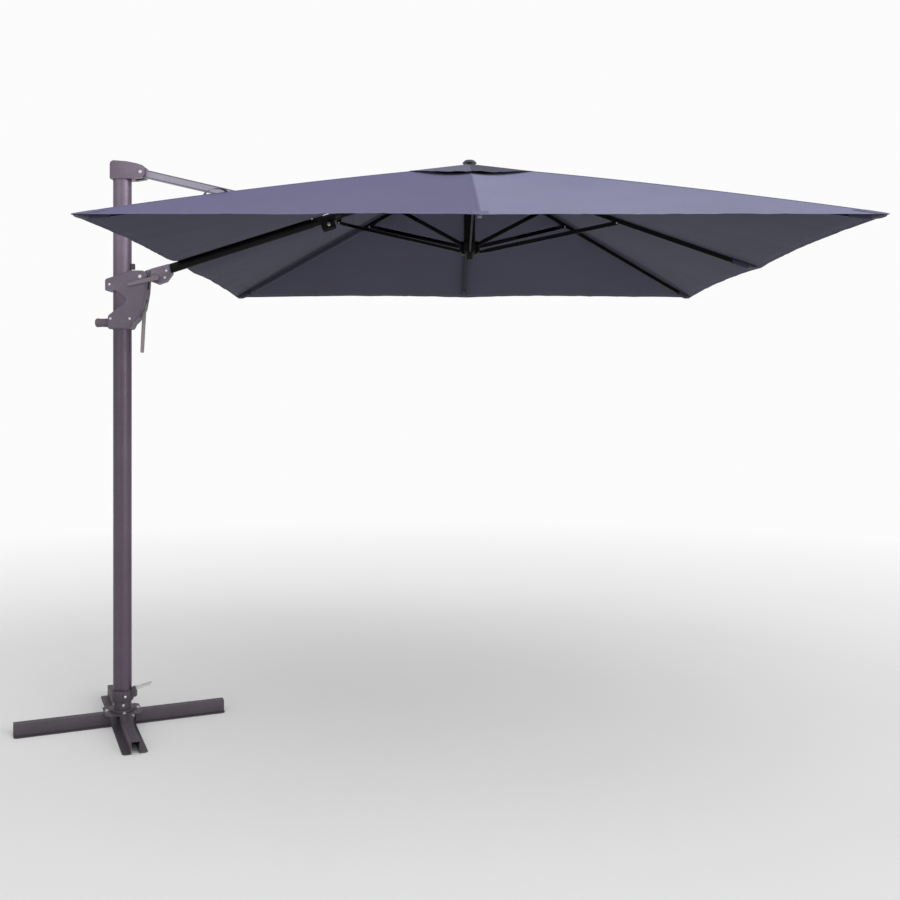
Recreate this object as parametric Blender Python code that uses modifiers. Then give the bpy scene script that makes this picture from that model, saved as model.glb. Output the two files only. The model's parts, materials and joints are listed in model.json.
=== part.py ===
"""Cantilever parasol on a cross foot: metres, +Z up.

The origin is on the floor at the axis of the mast, +X points along the boom towards the canopy.
A carriage slides on the mast, the boom hinges on the carriage, and a strut hangs the boom from the
mast head. The canopy is a low square pyramid on seven ribs and the boom itself.
"""

import math

import bmesh
import bpy
from mathutils import Matrix, Vector

# ---------------------------------------------------------------- driving dimensions
CANOPY_X = 1.725                 # axis of the canopy
HALF = 1.45                      # half of the canopy's side
APEX_Z = 2.760                   # where the four faces of the canopy would meet
HEM_Z = 2.258                    # level of the hem
CLOTH = 0.001                    # thickness of the cloth's solids
VENT_HOLE = 0.22                 # half size of the vent opening
VENT_FLAP = 0.29                 # half size of the flap over it
TAPE_SIDE = 0.136                # distance of the corner sheets' tapes from the face's middle
FLAP_RISE = 0.014                # height of the flap over the canopy
GAP = 0.0003                     # clearance between touching pieces

MAST_X, MAST_Y = 0.090, 0.070    # outside of the mast's oval section
MAST_WALL = 0.0022
MAST_BOTTOM, MAST_TOP = 0.1185, 2.7000
HEAD_PIN = Vector((0.0999, 0, 2.7270))
CARRIAGE_PIN = Vector((0.0999, 0, 2.2097))
BOOM_PIN = Vector((1.0298, 0, 2.46835))

BOOM_SLOPE = math.atan(0.3175)
BOOM_DIR = Vector((math.cos(BOOM_SLOPE), 0, math.sin(BOOM_SLOPE)))
ARM_R, ARM_NECK_R, ARM_BORE_R = 0.0235, 0.0212, 0.0196
ARM_START, ARM_STEP, ARM_END = 0.085, 0.887, 1.004     # along the boom, from the carriage pin
BOOM_R, BOOM_BORE_R = 0.0190, 0.0170
BOOM_START, BOOM_END = 0.740, 1.612

STRUT_SLOPE = math.atan(0.232)
STRUT_DIR = Vector((math.cos(STRUT_SLOPE), 0, -math.sin(STRUT_SLOPE)))
STRUT_DEPTH, STRUT_WIDTH = 0.040, 0.025
STRUT_LENGTH = 0.735
FORK_IN, FORK_OUT = 0.0257, 0.0295                     # half widths of the fork's two plates

RIB_DEPTH, RIB_WIDTH, RIB_WALL = 0.022, 0.014, 0.0015
RIB_PIVOT_R = 0.060              # distance of the rib pivots from the canopy's axis
STAY_FOOT_R = 0.047              # distance of the stays' lower pivots from it
STAY_DEPTH, STAY_WIDTH = 0.020, 0.009
# hub pivot's height, stay joint's distance and height, runner pivot's height, tip's distance:
# both tiers turn by the same angle as the runner drops
TIERS = {"mid": (2.7240, 0.7305, 2.4806, 2.3350, 1.375),
         "corner": (2.7307, 0.7480, 2.5533, 2.3650, 1.980)}
RIBS = [("right", 0, "mid"), ("back_right", 45, "corner"), ("back", 90, "mid"),
        ("back_left", 135, "corner"), ("front_left", 225, "corner"), ("front", 270, "mid"),
        ("front_right", 315, "corner")]
BOOM_HEAD = Vector((1.700, 0, 2.660))      # hinge of the boom in the canopy's hub
LINK_TOP = Vector((1.0754, 0, 2.4816))      # link's pivot under the boom
LINK_FOOT = Vector((1.700, 0, 2.335))      # and its pivot in the runner

RUNNER_LOW, RUNNER_TOP, RUNNER_R = 2.322, 2.386, 0.051
HUB_LOW, HUB_R = 2.690, 0.068
NECK_LOW, NECK_R = 2.638, 0.036
POST_R = 0.028

BEAM_TURN = math.radians(24)
BEAM_IN, BEAM_OUT = 0.0603, 0.500
BEAM_HALF, BEAM_FLANGE, BEAM_HIGH, BEAM_WALL = 0.021, 0.057, 0.058, 0.003

# ---------------------------------------------------------------- scene, materials, helpers
for old in list(bpy.data.objects):
    bpy.data.objects.remove(old, do_unlink=True)

parts = bpy.data.collections.new("cantilever_parasol")
cutters = bpy.data.collections.new("cutters")
for collection in (parts, cutters):
    bpy.context.scene.collection.children.link(collection)


def material(name, colour, roughness, metallic):
    """A Principled material."""
    made = bpy.data.materials.new(name)
    made.use_nodes = True
    shader = made.node_tree.nodes["Principled BSDF"]
    shader.inputs["Base Color"].default_value = (*colour, 1)
    shader.inputs["Roughness"].default_value = roughness
    shader.inputs["Metallic"].default_value = metallic
    return made


MAST_PAINT = material("mast_paint", (0.13, 0.11, 0.13), 0.45, 0.6)
FOOT_PAINT = material("foot_paint", (0.08, 0.065, 0.08), 0.5, 0.5)
BLACK_PAINT = material("black_paint", (0.010, 0.010, 0.014), 0.4, 0.4)
CASTING = material("carriage_casting", (0.12, 0.105, 0.12), 0.45, 0.3)
STRUT_PAINT = material("strut_paint", (0.30, 0.28, 0.36), 0.4, 0.6)
PLASTIC = material("dark_plastic", (0.03, 0.03, 0.035), 0.55, 0.0)
LEVER = material("lever_grey", (0.14, 0.135, 0.135), 0.5, 0.2)
ZINC = material("zinc_plate", (0.62, 0.62, 0.64), 0.3, 1.0)
CLOTH_BLUE = material("canopy_cloth", (0.20, 0.20, 0.33), 0.9, 0.0)


def adopt(name, mesh, paint=None, collection=parts):
    """Make a named object of a mesh, in a collection."""
    made = bpy.data.objects.new(name, mesh)
    mesh.name = name
    if paint is not None and not mesh.materials:
        mesh.materials.append(paint)
    collection.objects.link(made)
    if collection is cutters:
        made.hide_render = True
        made.display_type = "WIRE"
    return made


def from_bmesh(bm, name, paint, collection):
    mesh = bpy.data.meshes.new(name)
    bm.to_mesh(mesh)
    bm.free()
    return adopt(name, mesh, paint, collection)


def box(name, low, high, paint=None, collection=parts):
    """An upright block between two corners."""
    low, high = Vector(low), Vector(high)
    bm = bmesh.new()
    size = Matrix.Diagonal((*(high - low), 1))
    bmesh.ops.create_cube(bm, size=1, matrix=Matrix.Translation((low + high) / 2) @ size)
    return from_bmesh(bm, name, paint, collection)


def rod(name, start, end, radius, paint=None, collection=parts, segments=20):
    """A round bar between two points."""
    start, end = Vector(start), Vector(end)
    turn = Vector((0, 0, 1)).rotation_difference(end - start).to_matrix().to_4x4()
    place = Matrix.Translation((start + end) / 2) @ turn
    bm = bmesh.new()
    bmesh.ops.create_cone(bm, cap_ends=True, segments=segments, radius1=radius,
                          radius2=radius, depth=(end - start).length, matrix=place)
    made = from_bmesh(bm, name, paint, collection)
    smooth(made)
    return made


def smooth(made, angle=35):
    made.data.shade_smooth()
    made.data.set_sharp_from_angle(angle=math.radians(angle))


def plate(name, outline, half, place=None, paint=None, collection=parts, holes=()):
    """A flat outline with a thickness of twice half, stood up in the XZ plane unless placed."""
    curve = bpy.data.curves.new(name, "CURVE")
    curve.dimensions = "2D"
    curve.fill_mode = "BOTH"
    curve.extrude = half
    for loop in (outline, *holes):
        spline = curve.splines.new("POLY")
        spline.points.add(len(loop) - 1)
        for point, (x, y) in zip(spline.points, loop):
            point.co = (x, y, 0, 1)
        spline.use_cyclic_u = True
    guide = bpy.data.objects.new(name, curve)
    bpy.context.scene.collection.objects.link(guide)
    graph = bpy.context.evaluated_depsgraph_get()
    mesh = bpy.data.meshes.new_from_object(guide.evaluated_get(graph))
    bpy.data.objects.remove(guide, do_unlink=True)
    mesh.materials.clear()
    bm = bmesh.new()
    bm.from_mesh(mesh)
    bmesh.ops.remove_doubles(bm, verts=bm.verts, dist=0.00001)
    bm.to_mesh(mesh)
    bm.free()
    mesh.transform(place if place is not None else Matrix.Rotation(math.pi / 2, 4, "X"))
    return adopt(name, mesh, paint, collection)


def turned(name, profile, paint, place=None, steps=32, closed=False, collection=parts):
    """A profile of (radius, height) points turned about Z, outer side from top to bottom."""
    mesh = bpy.data.meshes.new(name)
    edges = [(i, i + 1) for i in range(len(profile) - 1)]
    if closed:
        edges.append((len(profile) - 1, 0))
    mesh.from_pydata([(r, 0, z) for r, z in profile], edges, [])
    made = adopt(name, mesh, paint, collection)
    screw = made.modifiers.new("turn", "SCREW")
    screw.steps = steps
    screw.render_steps = steps
    screw.use_merge_vertices = True
    screw.merge_threshold = 0.0001
    screw.use_smooth_shade = False
    if place is not None:
        made.matrix_world = place
    return made


def along(start, direction):
    """The placement that puts local Z along a direction, from a start point."""
    turn = Vector((0, 0, 1)).rotation_difference(direction).to_matrix().to_4x4()
    return Matrix.Translation(start) @ turn


def boolean(target, operation, *others):
    for other in others:
        step = target.modifiers.new(operation.lower(), "BOOLEAN")
        step.operation = operation
        step.solver = "EXACT"
        step.object = other


def cut(target, *others):
    boolean(target, "DIFFERENCE", *others)


def join(target, *others):
    boolean(target, "UNION", *others)


def bevel(target, width, segments=2):
    step = target.modifiers.new("bevel", "BEVEL")
    step.width = width
    step.segments = segments
    step.limit_method = "ANGLE"
    step.angle_limit = math.radians(50)


def arc(centre, radius, first, last, steps):
    """Points of an arc, in degrees anticlockwise."""
    turns = [math.radians(first + (last - first) * i / steps) for i in range(steps + 1)]
    return [(centre[0] + radius * math.cos(t), centre[1] + radius * math.sin(t)) for t in turns]


def oval(grow=0.0, steps=7):
    """The mast's section: a stadium, grown all round."""
    radius, reach = MAST_Y / 2 + grow, (MAST_X - MAST_Y) / 2
    return arc((reach, 0), radius, -90, 90, 2 * steps) + arc((-reach, 0), radius, 90, 270, 2 * steps)


def flat(z):
    """The placement of a plate lying level, with its middle at a height."""
    return Matrix.Translation((0, 0, z))


def on_boom(s, lift=0.0):
    """A point at a distance along the boom's axis from the carriage pin, and above the axis."""
    return CARRIAGE_PIN + BOOM_DIR * s + Vector((-BOOM_DIR.z, 0, BOOM_DIR.x)) * lift


bodies = {}


def body(name, origin, parent=None):
    """An empty on a joint's axis that carries the pieces which move together."""
    empty = bpy.data.objects.new("body_" + name, None)
    empty.empty_display_size = 0.05
    parts.objects.link(empty)
    bodies[name] = Vector(origin)
    if parent is not None:
        empty.parent = bpy.data.objects["body_" + parent]
        empty.location = bodies[name] - bodies[parent]
    else:
        empty.location = bodies[name]


def belong(name, *members):
    """Parent pieces to a body's empty, with plain pieces' origins moved to its axis."""
    origin = bodies[name]
    for member in members:
        if member.matrix_basis == Matrix():
            member.data.transform(Matrix.Translation(-origin))
            member.location = origin
        member.parent = bpy.data.objects["body_" + name]
        member.location = member.location - origin


# ---------------------------------------------------------------- foot
def build_foot():
    turn = Matrix.Rotation(BEAM_TURN, 4, "Z")
    wall, half, flange, high = BEAM_WALL, BEAM_HALF, BEAM_FLANGE, BEAM_HIGH
    hat = [(-flange, 0), (-half + wall, 0), (-half + wall, high - wall), (half - wall, high - wall),
           (half - wall, 0), (flange, 0), (flange, wall), (half, wall), (half, high),
           (-half, high), (-half, wall), (-flange, wall)]
    length = BEAM_OUT - BEAM_IN
    # the section is drawn in the YZ plane and runs outwards along X
    stand = Matrix(((0, 0, 1, (BEAM_IN + BEAM_OUT) / 2), (1, 0, 0, 0), (0, 1, 0, 0), (0, 0, 0, 1)))
    beam = plate("beam_right", hat, length / 2, stand, FOOT_PAINT)
    made = [beam] + [adopt("beam_" + side, beam.data) for side in ("back", "left", "front")]
    for index, beam in enumerate(made):
        beam.rotation_euler.z = BEAM_TURN + index * math.pi / 2
    corners = []
    for side in (-1, 1):
        nick = box("cut_flange_corner", (-0.02, -0.02, -0.01), (0.02, 0.02, 0.01), None, cutters)
        nick.data.transform(Matrix.Rotation(math.pi / 4, 4, "Z"))
        nick.data.transform(Matrix.Translation((BEAM_OUT + 0.008, side * (flange + 0.008), 0)))
        corners.append(nick)
    for beam in made:
        for nick in corners:
            own = bpy.data.objects.new(nick.name + beam.name[4:], nick.data)
            cutters.objects.link(own)
            own.hide_render = True
            own.display_type = "WIRE"
            own.rotation_euler.z = beam.rotation_euler.z
            cut(beam, own)
    for nick in corners:
        bpy.data.objects.remove(nick, do_unlink=True)
    under = box("bottom_plate", (-0.0595, -0.0595, 0), (0.0595, 0.0595, 0.003), FOOT_PAINT)
    under.data.transform(turn)
    chamfer, side = 0.018, 0.088
    square = [(side, -side + chamfer), (side, side - chamfer), (side - chamfer, side),
              (-side + chamfer, side), (-side, side - chamfer), (-side, -side + chamfer),
              (-side + chamfer, -side), (side - chamfer, -side)]
    low = BEAM_HIGH + GAP
    top = plate("top_plate", square, 0.0025, turn @ flat(low + 0.0025), FOOT_PAINT)
    made += [under, top]
    for index in range(4):
        spot = turn @ Matrix.Rotation(index * math.pi / 2, 4, "Z") @ Vector((0.074, 0, 0))
        head = [(0, 0.0072), (0.0080, 0.0072), (0.0080, 0.0015), (0.0105, 0.0015), (0.0105, 0), (0, 0)]
        bolt = turned("foot_bolt_%d" % (index + 1), head, ZINC,
                      Matrix.Translation((spot.x, spot.y, low + 0.005 + GAP)), steps=12)
        made.append(bolt)
    foot = low + 0.005 + GAP
    socket = turned("foot_socket", [
        (0.0295, 0.260), (0.0295, 0.112), (0.0425, 0.112), (0.0425, 0.076), (0.0600, 0.072),
        (0.0600, foot), (0.0230, foot), (0.0230, 0.260)], FOOT_PAINT, closed=True)
    made.append(socket)
    belong("base", *made)


# ---------------------------------------------------------------- mast and its head
def build_mast():
    # the section has a shallow flute down the middle of each flat side
    reach, radius, flute = (MAST_X - MAST_Y) / 2, MAST_Y / 2, 0.0012
    top_flute = [(0.007, radius), (0.006, radius - flute), (-0.006, radius - flute), (-0.007, radius)]
    section = [*arc((reach, 0), radius, -90, 90, 14), *top_flute,
               *arc((-reach, 0), radius, 90, 270, 14), *[(-x, -y) for x, y in top_flute]]
    mast = plate("mast_tube", section, (MAST_TOP - MAST_BOTTOM) / 2,
                 flat((MAST_TOP + MAST_BOTTOM) / 2), MAST_PAINT,
                 holes=[oval(-MAST_WALL - 0.0004)])
    collar = turned("mast_collar", [
        (0.0500, 0.165), (0.0540, 0.161), (0.0540, 0.1155), (0.0520, 0.1123), (0.0310, 0.1123),
        (0.0310, 0.165)], FOOT_PAINT, closed=True)
    pocket = plate("cut_collar_pocket", oval(GAP), 0.03, flat(0.1182 + 0.03), None, cutters)
    cut(collar, pocket)
    stop = box("carriage_stop", (MAST_X / 2 + GAP, -0.010, 2.249), (0.0610, 0.010, 2.277), PLASTIC)
    lug = box("add_pedal_lug", (0.0500, -0.013, 0.130), (0.0700, 0.013, 0.178), None, cutters)
    slot = box("cut_pedal_lug", (0.0590, -0.0075, 0.160), (0.0720, 0.0075, 0.190), None, cutters)
    join(collar, lug)
    cut(collar, slot)
    outline = [(-0.051, 2.693), (-0.051, 2.762), *arc((-0.031, 2.764), 0.020, 180, 90, 4),
               (0.030, 2.7795), (0.082, 2.7690), *arc((0.0999, 2.7420), 0.0205, 60, 0, 4),
               (0.1204, 2.712), (0.112, 2.701), (0.062, 2.693)]
    cap = plate("head_cap", outline, 0.0405, None, MAST_PAINT)
    bevel(cap, 0.006, 2)
    hollow = plate("cut_cap_hollow", oval(0.0008), 0.02, flat(MAST_TOP + GAP - 0.02), None, cutters)
    fork = box("cut_cap_fork", (0.064, -0.0145, 2.60), (0.15, 0.0145, 2.85), None, cutters)
    pin_hole = rod("cut_head_pin", HEAD_PIN - Vector((0, 0.06, 0)), HEAD_PIN + Vector((0, 0.06, 0)),
                   0.0043, None, cutters, 16)
    cut(cap, hollow, fork, pin_hole)
    pin = rod("head_pin", HEAD_PIN - Vector((0, 0.042, 0)), HEAD_PIN + Vector((0, 0.042, 0)),
              0.0040, ZINC, segments=16)
    belong("mast", mast, collar, stop, cap, pin)
    # foot pedal: a flat lever that leans up and out from the collar
    pedal = plate("foot_pedal", [(0.0600, 0.166), (0.0665, 0.163), (0.1380, 0.187), (0.1440, 0.193),
                                 (0.1370, 0.1985), (0.0600, 0.176)], 0.0070, None, LEVER)
    tread = box("add_pedal_tread", (0.088, -0.021, -0.0035), (0.142, 0.021, 0.0035), None, cutters)
    tread.data.transform(Matrix.Translation((0.112, 0, 0.1865)) @ Matrix.Rotation(-0.31, 4, "Y")
                         @ Matrix.Translation((-0.112, 0, 0)))
    join(pedal, tread)
    belong("pedal", pedal)


# ---------------------------------------------------------------- upper strut
def build_strut():
    up = Vector((-STRUT_DIR.z, 0, STRUT_DIR.x))
    across = Vector((0, 1, 0))
    frame = Matrix((( STRUT_DIR.x, across.x, up.x, HEAD_PIN.x), (STRUT_DIR.y, across.y, up.y, 0),
                    (STRUT_DIR.z, across.z, up.z, HEAD_PIN.z), (0, 0, 0, 1)))
    deep, wide = STRUT_DEPTH / 2, STRUT_WIDTH / 2
    tube = box("strut_tube", (-0.014, -wide, -deep), (STRUT_LENGTH, wide, deep), STRUT_PAINT)
    bore = box("cut_strut_bore", (0.030, -wide + 0.0018, -deep + 0.0018),
               (STRUT_LENGTH + 0.01, wide - 0.0018, deep - 0.0018), None, cutters)
    corner = rod("cut_strut_hole", (0, -0.05, 0), (0, 0.05, 0), 0.0043, None, cutters, 16)
    for made in (tube, bore, corner):
        made.data.transform(frame)
    cut(tube, bore, corner)
    start, straight = STRUT_LENGTH - 0.060, STRUT_LENGTH + 0.120
    low = [frame @ Vector((x, 0, -deep)) for x in (start, straight)]
    high = [frame @ Vector((x, 0, deep)) for x in (straight + 0.020, start)]
    eye = arc((BOOM_PIN.x, BOOM_PIN.z), 0.0135, -115, 60, 8)
    outline = [(v.x, v.z) for v in low] + eye + [(v.x, v.z) for v in high]
    fork = plate("strut_fork", outline, FORK_OUT, None, STRUT_PAINT)
    room = box("cut_fork_room", (STRUT_LENGTH + 0.012, -FORK_IN, -0.2), (STRUT_LENGTH + 0.4, FORK_IN, 0.2),
               None, cutters)
    sleeve = box("cut_fork_sleeve", (start - 0.02, -wide - GAP, -deep - GAP),
                 (STRUT_LENGTH + GAP, wide + GAP, deep + GAP), None, cutters)
    for made in (room, sleeve):
        made.data.transform(frame)
    eye_hole = rod("cut_fork_eye", BOOM_PIN - Vector((0, 0.06, 0)), BOOM_PIN + Vector((0, 0.06, 0)),
                   0.0043, None, cutters, 16)
    cut(fork, room, sleeve, eye_hole)
    belong("strut", tube, fork)


# ---------------------------------------------------------------- arm: knuckle, outer tube, bracket
def build_arm():
    lug = [*arc((CARRIAGE_PIN.x, CARRIAGE_PIN.z), 0.022, 75, 250, 8), (0.1390, 2.1900), (0.1580, 2.1835),
           (0.1790, 2.1750), (0.2200, 2.1895), (0.2480, 2.2280), (0.2390, 2.2750), (0.1200, 2.2425)]
    knuckle = plate("knuckle", lug, 0.0160, None, CASTING)
    thick = plate("add_knuckle_body", [(0.1440, 2.1895), (0.1580, 2.1835), (0.1790, 2.1750),
                                       (0.2200, 2.1895), (0.2480, 2.2280), (0.2390, 2.2750),
                                       (0.1440, 2.2490)], 0.0300, None, None, cutters)
    bevel(thick, 0.004, 1)
    bore = rod("cut_knuckle_bore", on_boom(ARM_START - 0.004), on_boom(0.3), ARM_R + GAP, None,
               cutters, 28)
    eye = rod("cut_knuckle_eye", CARRIAGE_PIN - Vector((0, 0.06, 0)),
              CARRIAGE_PIN + Vector((0, 0.06, 0)), 0.0053, None, cutters, 16)
    join(knuckle, thick)
    cut(knuckle, bore, eye)
    tube = turned("arm_tube", [
        (ARM_NECK_R, ARM_END), (ARM_NECK_R, ARM_STEP), (ARM_R, ARM_STEP), (ARM_R, ARM_START),
        (ARM_BORE_R, ARM_START), (ARM_BORE_R, ARM_END)], BLACK_PAINT,
        along(CARRIAGE_PIN, BOOM_DIR), steps=28, closed=True)
    skew = BOOM_DIR.x, BOOM_DIR.z
    corners = [(-0.046, -0.0555), (0.014, -0.0555), (0.022, -0.046), (0.022, -0.020), (-0.046, -0.020)]
    middle = on_boom(0.972)
    outline = [(middle.x + a * skew[0] - b * skew[1], middle.z + a * skew[1] + b * skew[0])
               for a, b in corners]
    bracket = plate("boom_bracket", outline, 0.0250, None, BLACK_PAINT)
    room = box("cut_bracket_room", (0.96, -0.0205, 2.40), (1.10, 0.0205, 2.4835), None, cutters)
    clear = rod("cut_bracket_tube", on_boom(0.85), on_boom(1.1), ARM_NECK_R + GAP, None, cutters, 28)
    pin_hole = rod("cut_bracket_pin", BOOM_PIN - Vector((0, 0.06, 0)), BOOM_PIN + Vector((0, 0.06, 0)),
                   0.0043, None, cutters, 16)
    cut(bracket, room, clear, pin_hole)
    pin = rod("boom_pin", BOOM_PIN - Vector((0, 0.032, 0)), BOOM_PIN + Vector((0, 0.032, 0)), 0.0040,
              ZINC, segments=16)
    belong("arm", knuckle, tube, bracket, pin)
    # side tilt lever on the near face of the knuckle
    lever = plate("tilt_lever", [(0.0400, 2.1650), (0.0480, 2.1620), (0.1700, 2.1890),
                                 *arc((0.1840, 2.2020), 0.0120, -110, 100, 6), (0.0420, 2.1780)], 0.0030,
                  Matrix.Translation((0, -0.0500, 0)) @ Matrix.Rotation(math.pi / 2, 4, "X"), LEVER)
    hub = rod("add_tilt_lever_hub", (0.1840, -0.0480, 2.2020), (0.1840, -0.0310, 2.2020), 0.0100, None,
              cutters, 16)
    join(lever, hub)
    belong("tilt_lever", lever)


# ---------------------------------------------------------------- carriage
def build_carriage():
    outline = [(-0.0730, 2.1970), (-0.0730, 2.1400), (-0.0210, 2.1390), (0.0035, 2.1240),
               (0.0240, 2.1040), (0.0270, 2.0950), (0.0160, 2.0750), (-0.0170, 2.0500),
               (-0.0590, 2.0170), (-0.0590, 1.9520), (0.0490, 1.9520), (0.0610, 1.9770),
               (0.0775, 1.9925), (0.0980, 2.0210), (0.1120, 2.0500), (0.1190, 2.0875),
               (0.1270, 2.1330), (0.1310, 2.1900), *arc((0.1050, 2.2120), 0.0280, -15, 80, 5),
               (0.0500, 2.2400), (-0.0090, 2.2180)]
    shell = plate("carriage", outline, 0.0460, None, CASTING)
    bevel(shell, 0.005, 1)
    way = plate("cut_carriage_way", oval(0.0035), 0.2, flat(2.1), None, cutters)
    slot = box("cut_carriage_slot", (0.0560, -0.0165, 2.1500), (0.20, 0.0165, 2.30), None, cutters)
    eye = rod("cut_carriage_eye", CARRIAGE_PIN - Vector((0, 0.06, 0)),
              CARRIAGE_PIN + Vector((0, 0.06, 0)), 0.0053, None, cutters, 16)
    lever_slot = box("cut_lever_slot", (0.0900, -0.0070, 1.98), (0.20, 0.0070, 2.100), None, cutters)
    cut(shell, way, slot, eye, lever_slot)
    liners = []
    for name, low, high in (("upper_liner", 2.150, 2.190), ("lower_liner", 1.956, 1.996)):
        liners.append(plate(name, oval(0.0035 - GAP), (high - low) / 2, flat((high + low) / 2), PLASTIC,
                            holes=[oval(0.0006)]))
    grip = turned("grip", [(0, 0.0740), (0.0175, 0.0720), (0.0225, 0.0660), (0.0200, 0.0400),
                           (0.0220, 0), (0, 0)], PLASTIC,
                  along(Vector((-0.0590 - GAP, 0, 1.9845)), Vector((-1, 0, 0))), steps=24)
    pin = rod("carriage_pin", CARRIAGE_PIN - Vector((0, 0.0465, 0)),
              CARRIAGE_PIN + Vector((0, 0.0465, 0)), 0.0050, ZINC, segments=16)
    belong("carriage", shell, *liners, grip, pin)
    lever = plate("lock_lever", [*arc((0.1100, 2.0735), 0.0090, -10, 190, 8), (0.0900, 1.8430),
                                 (0.0905, 1.8370), (0.1020, 1.8350), (0.1060, 1.8400)], 0.0055, None,
                  LEVER)
    belong("lock_lever", lever)


# ---------------------------------------------------------------- boom
def build_boom():
    tube = turned("boom_tube", [
        (BOOM_R, BOOM_END), (BOOM_R, BOOM_START), (BOOM_BORE_R, BOOM_START), (BOOM_BORE_R, BOOM_END)],
        BLACK_PAINT, along(CARRIAGE_PIN, BOOM_DIR), steps=24, closed=True)
    start, end = on_boom(BOOM_END - 0.045), on_boom(BOOM_END + 0.008)
    plug = rod("boom_end", start, end, BOOM_BORE_R - GAP, BLACK_PAINT, segments=20)
    low, high = on_boom(BOOM_END + 0.002, -0.014), on_boom(BOOM_END + 0.002, 0.012)
    fin = plate("add_boom_fin", [(low.x, low.z), *arc((BOOM_HEAD.x, BOOM_HEAD.z), 0.0120, -100, 100, 8),
                                 (high.x, high.z)], 0.0060, None, None, cutters)
    join(plug, fin)
    collar = turned("link_collar", [
        (0.0245, 0.030), (0.0245, 0), (BOOM_R + GAP, 0), (BOOM_R + GAP, 0.030)], BLACK_PAINT,
        along(on_boom(ARM_END + 0.001), BOOM_DIR), steps=24, closed=True)
    ear = [on_boom(ARM_END + 0.002, -0.0205), on_boom(ARM_END + 0.030, -0.0205),
           LINK_TOP + Vector((0.009, 0, -0.001)), LINK_TOP + Vector((0.004, 0, -0.008)),
           LINK_TOP + Vector((-0.006, 0, -0.007)), LINK_TOP + Vector((-0.009, 0, 0))]
    fin = plate("add_link_ear", [(v.x, v.z) for v in reversed(ear)], 0.0035, None, None, cutters)
    join(collar, fin)
    belong("boom", tube, plug, collar)


# ---------------------------------------------------------------- canopy head, ribs, stays, runner
def canopy_place(angle=0.0, radius=0.0, height=0.0):
    """The placement of a piece that faces outwards from the canopy's axis."""
    return (Matrix.Translation((CANOPY_X, 0, 0)) @ Matrix.Rotation(math.radians(angle), 4, "Z")
            @ Matrix.Translation((radius, 0, height)))


def build_head():
    axis = canopy_place()
    hub = turned("top_hub", [
        (0, 2.7480), (0.0300, 2.7480), (HUB_R, 2.7335), (HUB_R, HUB_LOW), (NECK_R, HUB_LOW - 0.004),
        (NECK_R, NECK_LOW), (0, NECK_LOW)], BLACK_PAINT, axis, steps=48)
    for name, angle, _ in RIBS:
        slot = box("cut_hub_" + name, (0.0430, -0.0076, 2.60), (0.12, 0.0076, 2.80), None, cutters)
        slot.matrix_world = canopy_place(angle)
        cut(hub, slot)
    gate = box("cut_hub_gate", (BOOM_HEAD.x - 0.08, -0.0066, 2.60), (BOOM_HEAD.x + 0.0125, 0.0066, 2.80),
               None, cutters)
    cut(hub, gate)
    post = turned("centre_post", [
        (0.0165, NECK_LOW - GAP), (POST_R, NECK_LOW - GAP), (POST_R, RUNNER_TOP + 0.002),
        (POST_R - 0.002, RUNNER_TOP + 0.002), (POST_R - 0.002, NECK_LOW - 0.012), (0.0165, NECK_LOW - 0.012)],
        BLACK_PAINT, axis, closed=True)
    finial = turned("finial", [
        (0, 2.7900), (0.0240, 2.7900), (0.0350, 2.7790), (0.0350, 2.7760), (0.0120, 2.7760),
        (0.0120, 2.7480 + GAP), (0, 2.7480 + GAP)], PLASTIC, axis)
    belong("head", hub, post, finial)


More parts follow.
